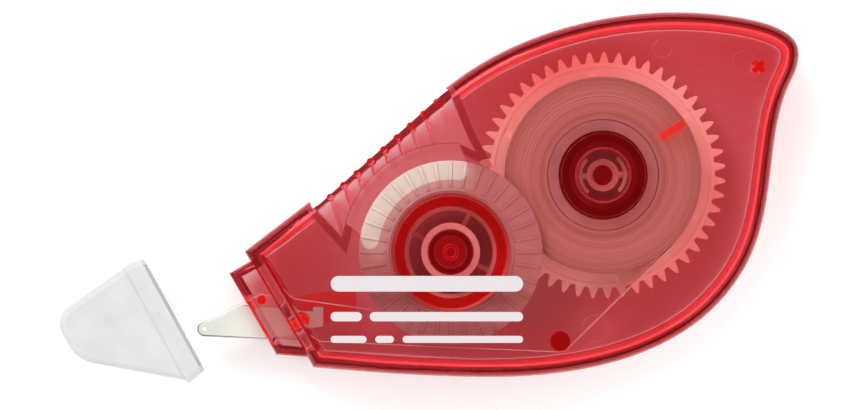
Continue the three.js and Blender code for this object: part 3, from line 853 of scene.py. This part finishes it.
def front_cover():
    shell = cut(casing_block(), casing_hollow())
    shell = joined([shell, pan(FRONT_PAN_BOTTOM, CASING_TOP)] + ejector_marks())
    shell = cut(
        shell,
        prism(SCOOP, FRONT_SCOOP_FLOOR, CASING_TOP + OVERSHOOT),
        prism(window_outline(), FRONT_PAN_BOTTOM - OVERSHOOT, CASING_TOP + OVERSHOOT),
    )
    return front_half(shell)


def cross_pin(centre, size, width, bottom, top):
    arms = []
    for degrees in (45, 135):
        start = polar(centre, size, degrees)
        arms.append(bar(start, polar(centre, size, degrees + 180), width, bottom, top, 0.08))
    return joined(arms)


NOTCH_BOTTOM = 7.6
NOTCH_TOP = 9.0


def back_axles():
    """The spool axles that stand on the back wall; the supply axle's end has four notches."""
    axle = disc(SUPPLY_AXLE_RADIUS, BACK_ROOT, SUPPLY_AXLE_TOP, AXIS, 48, 0.15)
    for degrees in (20, 110, 200, 290):
        axle = cut(axle, disc(0.42, NOTCH_BOTTOM, NOTCH_TOP, polar(AXIS, 1.2, degrees), 24, 0.05))
    return collected([
        axle,
        ring(TAKEUP_AXLE_BORE, TAKEUP_AXLE_RADIUS, BACK_ROOT, TAKEUP_AXLE_TOP, TAKEUP, 72, 0.15),
    ])


def guide_post():
    return disc(GUIDE_POST[1], BACK_ROOT, GUIDE_POST_TOP, GUIDE_POST[0], 40, 0.15)


def applicator_seat():
    """The seat under the applicator's tail, with a curved edge along the return tape."""
    start, control, end = Vector((-31.7, -14.7)), Vector((-35.9, -14.7)), Vector((-40.2, -16.0))
    outline = [start] + quadratic(start, control, end, 16)
    outline += vectors((-38.7, -19.2), (-35.1, -18.9), (-35.1, -17.6), (-31.7, -17.5))
    return rounded(outline, BACK_ROOT, SEAT_TOP, 0.15, steps=3)


BOSS_TOP = GEAR_BOTTOM - 0.12


def back_painted_shade_rings():
    """Thicker spots of the back wall under the hollow middle of each spool, in a dense dark red
    that paints shade into the spools' middles.
    """
    return collected([
        ring(1.3, 4.2, BACK_ROOT, BOSS_TOP, edge=0.05),
        ring(2.9, 5.35, BACK_ROOT, BOSS_TOP, TAKEUP, edge=0.05),
    ])


def back_pins():
    """The snap pin at the tail and the two posts in the nose."""
    return collected([
        cross_pin(TAIL_PIN, 0.95, 0.75, BACK_ROOT, TAIL_PIN_TOP),
        disc(RETURN_POST[1], NOSE_ROOT, NOSE_POST_TOP, RETURN_POST[0], 32, 0.1),
        disc(HOOK_POST[1], NOSE_ROOT, NOSE_POST_TOP, HOOK_POST[0], 32, 0.1),
    ])


def back_cover():
    shell = joined([cut(casing_block(), casing_hollow()), pan(0, BACK_PAN_TOP)])
    return back_half(cut(shell, prism(SCOOP, -OVERSHOOT, BACK_SCOOP_FLOOR)))


# ---- gears and spools


def involute(angle):
    return math.tan(angle) - angle


ROOT_FILLET = 0.09
TIP_FALL = 0.03
FLANK_SHARES = (0.08, 0.22, 0.38, 0.55, 0.7, 0.82, 0.92)


def gear_outline(teeth, tooth_angle, centre):
    """A spur gear's outline, with filleted roots and rounded tips."""
    pitch_radius = GEAR_MODULE * teeth / 2
    base_radius = pitch_radius * math.cos(PRESSURE_ANGLE)
    tip_radius = pitch_radius + GEAR_MODULE
    root_radius = pitch_radius - 1.3 * GEAR_MODULE
    pitch_half = (math.pi * GEAR_MODULE / 2 - BACKLASH) / (2 * pitch_radius)

    def half_angle(radius):
        slope = math.acos(min(1, base_radius / radius))
        return pitch_half + involute(PRESSURE_ANGLE) - involute(slope)

    flank = [(root_radius, half_angle(root_radius) + ROOT_FILLET / root_radius)]
    for share in FLANK_SHARES:
        radius = root_radius + share * (tip_radius - root_radius)
        flank.append((radius, half_angle(radius)))
    flank.append((tip_radius - TIP_FALL, half_angle(tip_radius) * 0.78))
    flank.append((tip_radius, half_angle(tip_radius) * 0.4))
    outline = []
    for tooth in range(teeth):
        middle = tooth_angle + tooth * 2 * math.pi / teeth
        for radius, half in flank:
            outline.append(polar(centre, radius, math.degrees(middle - half)))
        for radius, half in reversed(flank):
            outline.append(polar(centre, radius, math.degrees(middle + half)))
    return outline


def takeup_tooth_angle():
    """Turned so that a gap of the take-up gear meets each supply tooth."""
    line = math.atan2(TAKEUP.y, TAKEUP.x) + 2 * math.pi
    pitches = (line - SUPPLY_TOOTH_ANGLE) * SUPPLY_TEETH / (2 * math.pi)
    return line + math.pi + (pitches + 0.5) * 2 * math.pi / TAKEUP_TEETH


def gear_blank(teeth, tooth_angle, centre, hole):
    """A toothed rim with a round hole."""
    rim = rounded(gear_outline(teeth, tooth_angle, centre), GEAR_BOTTOM, GEAR_TOP, 0.1, steps=3)
    return cut(rim, disc(hole, 0, GEAR_TOP + OVERSHOOT, centre, 96))


SPOKE_ANGLES = (3, 183)
SUPPLY_HOLE_RADIUS = 4.3
SLEEVE_TOP = 5.6
DIMPLES = 6
DIMPLE_CIRCLE = 13.45


def supply_gear():
    """The gear, its sleeve on two spokes, six dimples and a low ring round the pack."""
    parts = [
        gear_blank(SUPPLY_TEETH, SUPPLY_TOOTH_ANGLE, AXIS, SUPPLY_HOLE_RADIUS),
        ring(1.34, 1.75, GEAR_BOTTOM, SLEEVE_TOP, AXIS, 64, 0.05),
    ]
    for degrees in SPOKE_ANGLES:
        parts.append(spoke(1.6, SUPPLY_HOLE_RADIUS + 0.2, 0.8, degrees, GEAR_BOTTOM, GEAR_TOP))
    gear = joined(parts)
    for index in range(DIMPLES):
        at = polar(AXIS, DIMPLE_CIRCLE, 36 + 360 / DIMPLES * index)
        gear = cut(gear, disc(0.6, GEAR_TOP - 0.2, GEAR_TOP + OVERSHOOT, at, 32))
    raised = ring(13.9, 14.2, GEAR_TOP - 0.1, GEAR_TOP + 0.12, AXIS, 128, 0.05)
    return joined([gear, raised])


ARM_BOTTOM = 6.0
ARM_TOP = 7.2
ARM_REACH = 48


def clutch_spring():
    """Two C-shaped sprung arms on a ring."""
    parts = [ring(1.6, 2.1, ARM_BOTTOM, ARM_TOP, AXIS, 64, 0.06)]
    for degrees in SPOKE_ANGLES:
        outline = arc(AXIS, 3.15, degrees - ARM_REACH, degrees + ARM_REACH, 24)
        outline += arc(AXIS, 2.65, degrees + ARM_REACH, degrees - ARM_REACH, 24)
        parts.append(rounded(outline, ARM_BOTTOM, ARM_TOP, 0.06, steps=2))
        parts.append(spoke(2.0, 2.75, 0.5, degrees, ARM_BOTTOM, ARM_TOP))
    return joined(parts)


CORE_INNER = 3.3
CORE_OUTER = 7.07
CORE_FLOOR_TOP = TAPE_BOTTOM + 0.8


def supply_core():
    """Two walls on a floor; the tape pack is wound on the outer wall."""
    return joined([
        ring(CORE_INNER, CORE_INNER + 0.35, TAPE_BOTTOM, TAPE_TOP),
        ring(CORE_INNER + 0.05, CORE_OUTER - 0.07, TAPE_BOTTOM, CORE_FLOOR_TOP),
        ring(5.7, CORE_OUTER, TAPE_BOTTOM, TAPE_TOP),
    ])


TURN_MARGIN = 0.08
TURN_SPREAD = 0.05


def wound_ring(inner, outer, bottom, top, centre, turns, seed):
    """A pack of film whose turns end at slightly different heights."""
    rng = random.Random(seed)
    profile = [(inner, bottom), (outer - 0.05, bottom), (outer, bottom + 0.05)]
    profile += [(outer, top - 0.09), (outer - 0.04, top - 0.05)]
    width = (outer - inner - 2 * TURN_MARGIN) / turns
    for i in range(turns):
        radius = outer - TURN_MARGIN - width * i
        height = top - 0.005 - TURN_SPREAD * rng.random()
        profile.append((radius, height))
        profile.append((radius - width * 0.8, height + 0.004))
    profile.append((inner, top - 0.06))
    return lathe(profile, centre, 160)


def tape_pack():
    inner = CORE_OUTER + 0.08
    return wound_ring(inner, PACK_RADIUS, TAPE_BOTTOM, TAPE_TOP, AXIS, turns=26, seed=3)


TAKEUP_HOLE_RADIUS = 5.45
HUB_TOP = 7.6
DRUM_BOTTOM = 4.4
DRUM_FLOOR_TOP = 4.9
DRUM_TOP = 9.8
DRUM_INNER = 7.6
DRUM_RADIUS = 8.2


def takeup_spool():
    """The gear, a hub on four spokes, and the drum that stands on a neck."""
    parts = [
        gear_blank(TAKEUP_TEETH, takeup_tooth_angle(), TAKEUP, TAKEUP_HOLE_RADIUS),
        ring(TAKEUP_AXLE_RADIUS + 0.1, 3.8, GEAR_BOTTOM, HUB_TOP, TAKEUP),
        ring(TAKEUP_HOLE_RADIUS, 5.74, GEAR_BOTTOM + 0.5, 4.7, TAKEUP),
        ring(TAKEUP_HOLE_RADIUS, DRUM_RADIUS - 0.05, DRUM_BOTTOM, DRUM_FLOOR_TOP, TAKEUP),
        ring(DRUM_INNER, DRUM_RADIUS, DRUM_BOTTOM, DRUM_TOP, TAKEUP),
    ]
    for degrees in (64, 154, 244, 334):
        end = TAKEUP_HOLE_RADIUS + 0.15
        parts.append(spoke(3.6, end, 0.65, degrees, GEAR_BOTTOM, GEAR_TOP, TAKEUP))
    return joined(parts)


def winding():
    """The used carrier tape on the drum."""
    inner, bottom = DRUM_RADIUS + 0.06, DRUM_FLOOR_TOP + 0.05
    return wound_ring(inner, WINDING_RADIUS, bottom, TAPE_TOP, TAKEUP, turns=3, seed=5)


FLANGE_BOTTOM = 9.9
FLANGE_TOP = 11.2
GRIP_RIBS = 36
GRIP_RIB_WIDTH = 0.46
GRIP_RIB_STAND = 0.2


def finger_wheel():
    """A flat flange with soft ribs for the finger and a low ring inside them."""
    parts = [
        ring(DRUM_INNER, FLANGE_RADIUS, FLANGE_BOTTOM, FLANGE_TOP, TAKEUP, 144, 0.12),
        ring(7.85, 8.15, FLANGE_TOP - 0.1, FLANGE_TOP + GRIP_RIB_STAND, TAKEUP, 144, 0.08),
    ]
    low, high = FLANGE_TOP - 0.4, FLANGE_TOP + GRIP_RIB_STAND
    end = FLANGE_RADIUS - 0.17
    for index in range(GRIP_RIBS):
        degrees = index * 360 / GRIP_RIBS
        parts.append(spoke(8.35, end, GRIP_RIB_WIDTH, degrees, low, high, TAKEUP, 0.18))
    return joined(parts)


# ---- tape

TAPE_THICKNESS = 0.12
TAPE_CLEARANCE = 0.06
WRAP = TAPE_CLEARANCE + TAPE_THICKNESS / 2
TAPE_TURN_STEP = 0.12


def run_angle(start, end):
    """Direction of the straight run between two wrapped circles; a positive radius is wrapped
    counter-clockwise, a negative one clockwise."""
    gap = end[0] - start[0]
    return math.atan2(gap.y, gap.x) - math.asin((end[1] - start[1]) / gap.length)


def wrap_point(station, angle):
    centre, radius = station
    return Vector((centre.x + radius * math.sin(angle), centre.y - radius * math.cos(angle)))


def tape_line(stations):
    """The centre line of a tape that runs over the stations in order."""
    angles = [run_angle(a, b) for a, b in zip(stations, stations[1:])]
    line = [wrap_point(stations[0], angles[0])]
    for station, before, after in zip(stations[1:], angles, angles[1:]):
        turn = math.copysign(2 * math.pi, station[1])
        sweep = math.fmod(after - before + turn, 2 * math.pi)
        steps = max(6, math.ceil(abs(sweep) / TAPE_TURN_STEP))
        for step in range(steps + 1):
            line.append(wrap_point(station, before + sweep * step / steps))
    line.append(wrap_point(stations[-1], angles[-1]))
    return line


def strip(line):
    """A strip of tape on edge along a centre line."""
    sides = []
    for sign in (-1, 1):
        side = []
        for i, point in enumerate(line):
            along = (line[min(i + 1, len(line) - 1)] - line[max(i - 1, 0)]).normalized()
            side.append(point + Vector((-along.y, along.x)) * sign * TAPE_THICKNESS / 2)
        sides.append(side)
    return prism(sides[0] + sides[1][::-1], TAPE_BOTTOM, TAPE_TOP)


TAPE_LINE = tape_line([
    (AXIS, -(PACK_RADIUS + WRAP)),
    (GUIDE_POST[0], -(GUIDE_POST[1] + WRAP)),
    (ROLLER, -(ROLLER_RADIUS + WRAP)),
    (RETURN_POST[0], -(RETURN_POST[1] + WRAP)),
    (TAKEUP, WINDING_RADIUS + WRAP),
])

# The two runs part at the tape's foremost point, in the middle of the roller's wrap.
FOREMOST = min(range(len(TAPE_LINE)), key=lambda i: TAPE_LINE[i].x)


def supply_run():
    return strip(TAPE_LINE[: FOREMOST + 1])


def return_run():
    restart = TAPE_LINE[FOREMOST].lerp(TAPE_LINE[FOREMOST + 1], 0.25)
    return strip([restart] + TAPE_LINE[FOREMOST + 1:])


# ---- applicator

WEDGE_BOTTOM = 4.4
WEDGE_TOP = 9.6
CHEEK = 0.55
ROLLER_END_GAP = 0.15


def applicator():
    """The wedge between two cheeks, with its hook hole and the roller pin's hole."""
    core = vectors(
        (-49.7, -18.4), (-49.9, -20.3), (-48.7, -20.42), (-43.5, -20.68), (-40.0, -20.6),
        (-37.3, -19.6), (-35.9, -19.4), (-35.9, -16.9), (-37.2, -16.9), (-37.2, -17.45),
        (-40.2, -17.45), (-42.3, -16.9), (-46.1, -16.9),
    )
    cheek = arc(ROLLER, 0.76, 117, 266, 24)
    cheek += vectors((-48.7, -20.64), (-43.5, -20.89), (-42.4, -20.7))
    cheek += vectors((-44.7, -16.9), (-46.2, -16.7))
    whole = joined([
        prism(core, WEDGE_BOTTOM - 0.1, WEDGE_TOP + 0.1),
        rounded(cheek, WEDGE_BOTTOM - CHEEK, WEDGE_BOTTOM, 0.12, steps=3, ends="bottom"),
        rounded(cheek, WEDGE_TOP, WEDGE_TOP + CHEEK, 0.12, steps=3, ends="top"),
    ])
    return cut(
        whole,
        disc(HOOK_POST[1] + 0.25, 0, CASING_TOP, HOOK_POST[0], 48),
        disc(PIN_RADIUS + 0.01, 0, CASING_TOP, ROLLER, 32),
    )


def press_roller():
    bottom, top = WEDGE_BOTTOM + ROLLER_END_GAP, WEDGE_TOP - ROLLER_END_GAP
    return ring(PIN_RADIUS + 0.1, ROLLER_RADIUS, bottom, top, ROLLER, 64, 0.08)


def roller_pin():
    return disc(PIN_RADIUS, WEDGE_BOTTOM - CHEEK, WEDGE_TOP + CHEEK, ROLLER, 32, 0.05)


# ---- cap

CAP_WALL = 0.8
CAP_ROUND = 1.0
CAP_INSET = 0.25
INNER_CAP_ROUND = CAP_ROUND - 0.4
MOUTH_TOP = Vector((-59.24, -10.78))
MOUTH_BOTTOM = Vector((-51.35, -25.18))
SKIRT_WIDTH = 2.26


def cap_outline():
    """The cap's outline, run on past its mouth; the mouth is then cut square."""
    outline = vectors((-57.1, -9.96), (-61.42, -11.61), (-68.52, -16.55))
    outline += quadratic(outline[-1], (-70.66, -18.03), (-69.48, -20.35), 14)
    outline += vectors((-68.76, -21.74))
    outline += quadratic(outline[-1], (-67.67, -23.88), (-65.31, -24.32), 14)
    outline += vectors((-53.0, -26.59), (-50.0, -24.03))
    return outline


CAP = cap_outline()


def mouth_band(near, far):
    """Everything between two lines that run parallel to the cap's mouth, at the given distances
    behind it."""
    along = (MOUTH_BOTTOM - MOUTH_TOP).normalized()
    behind = Vector((along.y, -along.x))
    upper, lower = MOUTH_TOP - along * 10, MOUTH_BOTTOM + along * 10
    corners = [upper + behind * near, upper + behind * far]
    corners += [lower + behind * far, lower + behind * near]
    return through(corners)


def cap():
    """A hollow wedge with a wider skirt round its mouth."""
    skirt = shared(rounded(CAP, 0, CASING_TOP, CAP_ROUND), mouth_band(0, SKIRT_WIDTH))
    body = rounded(CAP, CAP_INSET, CASING_TOP - CAP_INSET, CAP_ROUND, CAP_INSET)
    shell = joined([shared(body, mouth_band(0.5, 40)), skirt])
    hollow = rounded(CAP, 0.9, CASING_TOP - 0.9, INNER_CAP_ROUND, CAP_WALL + CAP_INSET)
    mouth = rounded(CAP, 0.7, CASING_TOP - 0.7, INNER_CAP_ROUND, CAP_WALL)
    return cut(shell, hollow, shared(mouth, mouth_band(-6, SKIRT_WIDTH - 0.3)))


# ---- printed marks


INK_BOTTOM = CASING_TOP - 0.01
INK_TOP = CASING_TOP + 0.015

# Rows of bars: the height of the row, its bars' width, and each bar's left end and length.
BAR_ROWS = (
    (-13.9, 2.0, ((-34.9, 24.6),)),
    (-18.1, 1.2, ((-34.9, 4.0), (-29.9, 19.6))),
    (-21.0, 0.9, ((-34.9, 4.6), (-29.2, 2.4), (-25.7, 15.4))),
)


def printed_bars():
    """Plain pale bars where a real roller carries its print; they say nothing."""
    bars = []
    for y, width, spans in BAR_ROWS:
        for x, length in spans:
            start = Vector((x + width / 2, y))
            end = Vector((x + length - width / 2, y))
            bars.append(prism(bar_outline(start, end, width, True), INK_BOTTOM, INK_TOP))
    return joined(bars)


# ---- the walls' cores


def wall_core(outline, near, far, bottom, top):
    """The thick of a side wall, seen end on through the rounded edge."""
    return cut(prism(inset(outline, near), bottom, top), prism(inset(outline, far), 0, CASING_TOP))


BODY_CORE_BOTTOM = 1.6
BODY_CORE_TOP = 12.4
NOSE_CORE_BOTTOM = 2.2
NOSE_CORE_TOP = 11.8
CORE_GAP = 0.15


def wall_cores(bottom, top):
    """Deep red cores of the side walls of one cover, between two heights; their glow is painted
    light.
    """
    body = wall_core(BODY, 0.1, 0.6, max(bottom, BODY_CORE_BOTTOM), min(top, BODY_CORE_TOP))
    body = cut(body, through(inset(grip_wedge(), -0.2)))
    nose = wall_core(NOSE, 0.15, 0.6, max(bottom, NOSE_CORE_BOTTOM), min(top, NOSE_CORE_TOP))
    nose = cut(nose, through(inset(BODY, -CORE_GAP)))
    slot = inset(NOSE_SLOT, -CORE_GAP)
    return [body, cut(nose, prism(slot, NOSE_SLOT_BOTTOM - CORE_GAP, NOSE_SLOT_TOP + CORE_GAP))]


CORE_SPLIT_GAP = 0.2


def front_edges():
    """The front cover's grip bumps and wall cores."""
    bumps = front_half(grip_bumps())
    return collected([bumps] + wall_cores(SPLIT_Z + CORE_SPLIT_GAP, CASING_TOP))


def back_edges():
    """The back cover's grip bumps and wall cores, and the floor of its take-up axle's bore."""
    bumps = back_half(grip_bumps())
    floor = disc(TAKEUP_AXLE_BORE - 0.06, BACK_ROOT, BACK_WALL_TOP + 0.4, TAKEUP, 72, 0.05)
    return collected([bumps, floor] + wall_cores(0, SPLIT_Z - CORE_SPLIT_GAP))


def front_ribs():
    return scoop_ribs(FRONT_SCOOP_FLOOR - WALL_BITE, FRONT_SCOOP_FLOOR + SCOOP_RIB_STAND)


def back_ribs():
    return scoop_ribs(BACK_SCOOP_FLOOR - SCOOP_RIB_STAND, BACK_SCOOP_FLOOR + WALL_BITE)


# ---- the pieces

# The covers' pieces: the cover, the rest of the piece's name, what is drawn, and its red, whose
# glow paints light into the piece.
COVER_PIECES = (
    ("front_cover", "edges", front_edges, RED_EDGE),
    ("back_cover", "edges", back_edges, RED_EDGE),
    ("front_cover", "shell", front_cover, RED),
    ("back_cover", "shell", back_cover, RED),
    ("front_cover", "supply_collar", supply_collar, RED_DEEP),
    ("front_cover", "takeup_collar", takeup_collar, RED_WARM_GLOW),
    ("front_cover", "rib", front_rib, RED_BRIGHT_GLOW),
    ("back_cover", "axles", back_axles, RED_DEEP),
    ("back_cover", "guide_post", guide_post, RED_WARM_GLOW),
    ("back_cover", "applicator_seat", applicator_seat, RED_WARM_GLOW),
    ("back_cover", "pins", back_pins, RED_BRIGHT_GLOW),
    ("front_cover", "grip_ribs", front_ribs, RED_DEEP),
    ("back_cover", "grip_ribs", back_ribs, RED_DEEP),
    ("back_cover", "painted_shade_rings", back_painted_shade_rings, RED_PAINTED_SHADE),
)
for cover, part, draw, red in COVER_PIECES:
    finish_piece(draw(), f"{cover}_{part}", "casing", [cover], red)

# The other pieces: what is drawn, its name, its body, the node it replaces, its slot, its looks.
OTHER_PIECES = (
    (supply_gear(), "supply_gear_wheel", "supply_gear", "supply_gear", "pale_plastic", GEAR_PALE_PAINTED_GLOW),
    (clutch_spring(), "clutch_arms", "supply_gear", "clutch_spring", "pale_plastic", ARMS_PAINTED_SHADE),
    (supply_core(), "supply_core_ring", "supply_core", "supply_core", "pale_plastic", CORE),
    (tape_pack(), "tape_pack_film", "supply_core", "tape_pack", "tape_pack", PACK_FILM),
    (takeup_spool(), "takeup_spool_hub", "takeup", "takeup_spool", "pale_plastic", PALE),
    (finger_wheel(), "finger_wheel_ribbed", "takeup", "finger_wheel", "pale_plastic", WHEEL_PAINTED_SHADE),
    (winding(), "takeup_winding_film", "takeup", "takeup_winding", "tape_carrier", WINDING_FILM),
    (supply_run(), "tape_to_roller", "casing", "tape_supply_run", "tape_white", TAPE_WHITE),
    (return_run(), "tape_from_roller", "casing", "tape_return_run", "tape_carrier", TAPE_CARRIER),
    (applicator(), "applicator_wedge", "casing", "applicator", "tip_plastic", TIP),
    (press_roller(), "press_roller_tyre", "roller", "press_roller", "tip_plastic", TIP),
    (roller_pin(), "roller_pin_rod", "casing", "roller_pin", "pale_plastic", PALE),
    (cap(), "cap_shell", "cap", "cap", "cap_clear", CAP_CLEAR_PAINTED_GLOW),
)
for solid, name, body, node, slot, material in OTHER_PIECES:
    finish_piece(solid, name, body, [node], material)
finish_piece(printed_bars(), "printed_bars", "casing", [], INK)

# ---- stage

# The photo shows this width, in mm, round this point; the rest of the stage is in metres.
VIEW_WIDTH = 110.6
VIEW_CENTRE = Vector((-22.2, -3.83))
CAMERA_DISTANCE = 1.1
SENSOR_WIDTH = 36.0


def make_camera():
    data = bpy.data.cameras.new("camera")
    data.sensor_width = SENSOR_WIDTH
    data.lens = SENSOR_WIDTH * CAMERA_DISTANCE / (VIEW_WIDTH * MM)
    data.clip_start, data.clip_end = 0.05, 10.0
    camera = bpy.data.objects.new("camera", data)
    height = CASING_TOP * MM / 2 + CAMERA_DISTANCE
    camera.location = (VIEW_CENTRE.x * MM, VIEW_CENTRE.y * MM, height)
    scene.collection.objects.link(camera)
    scene.camera = camera


FLOOR_SIZE = 6.0
FLOOR_GAP = 0.0001


def make_floor():
    bpy.ops.mesh.primitive_plane_add(size=FLOOR_SIZE, location=(0, 0, -FLOOR_GAP))
    floor = bpy.context.object
    floor.name = "floor"
    nodes = Nodes("floor_paper")
    tone = nodes.range(nodes.noise(nodes.place(), scale=0.02, detail=2.0), 0, 1)
    paper = nodes.blend(tone, (0.95, 0.95, 0.95), (0.98, 0.98, 0.98))
    nodes.join(paper, nodes.shader.inputs["Base Color"])
    nodes.set("Roughness", 0.9)
    nodes.set("Emission Color", (1, 1, 1, 1))
    nodes.set("Emission Strength", 0.08)
    floor.data.materials.append(nodes.material)


def area_light(name, place, target, size, power):
    data = bpy.data.lights.new(name, "AREA")
    data.shape = "SQUARE"
    data.size = size
    data.energy = power
    lamp = bpy.data.objects.new(name, data)
    lamp.location = place
    lamp.rotation_euler = (Vector(target) - Vector(place)).to_track_quat("-Z", "Y").to_euler()
    scene.collection.objects.link(lamp)


# The tent's brightness changes between two heights of the sky, from one value to another; the
# two bands are multiplied.
SKY_BANDS = ((0.25, 0.5, 0.25, 1.7), (0.84, 0.95, 1.0, 0.03))
LIT_POINT = (-0.02, 0, 0)


def make_lights():
    """A white tent, open at the top where the camera looks in and dim along the horizon."""
    world = bpy.data.worlds.new("studio")
    world.use_nodes = True
    tree = world.node_tree
    way = tree.nodes.new("ShaderNodeTexCoord")
    split = tree.nodes.new("ShaderNodeSeparateXYZ")
    tree.links.new(way.outputs["Generated"], split.inputs[0])
    level = split.outputs["Z"]
    walls = tree.nodes.new("ShaderNodeMath")
    walls.operation = "MULTIPLY"
    for socket, (z_from, z_to, low, high) in zip(walls.inputs, SKY_BANDS):
        band = tree.nodes.new("ShaderNodeMapRange")
        settings = {"From Min": z_from, "From Max": z_to, "To Min": low, "To Max": high}
        for name, value in settings.items():
            band.inputs[name].default_value = value
        tree.links.new(level, band.inputs["Value"])
        tree.links.new(band.outputs["Result"], socket)
    tree.links.new(walls.outputs[0], tree.nodes["Background"].inputs["Strength"])
    tree.nodes["Background"].inputs["Color"].default_value = (1, 1, 1, 1)
    scene.world = world
    area_light("key", (-0.35, 0.45, 0.6), LIT_POINT, size=0.35, power=3.6)
    area_light("fill", (0.5, -0.35, 0.5), LIT_POINT, size=0.5, power=1.5)


def allow_deep_paths():
    """Light crosses many walls of clear plastic before it gets out again."""
    scene.cycles.max_bounces = 20
    scene.cycles.transmission_bounces = 20
    scene.cycles.transparent_max_bounces = 24


make_camera()
make_floor()
make_lights()
allow_deep_paths()
scene.view_settings.view_transform = "Standard"
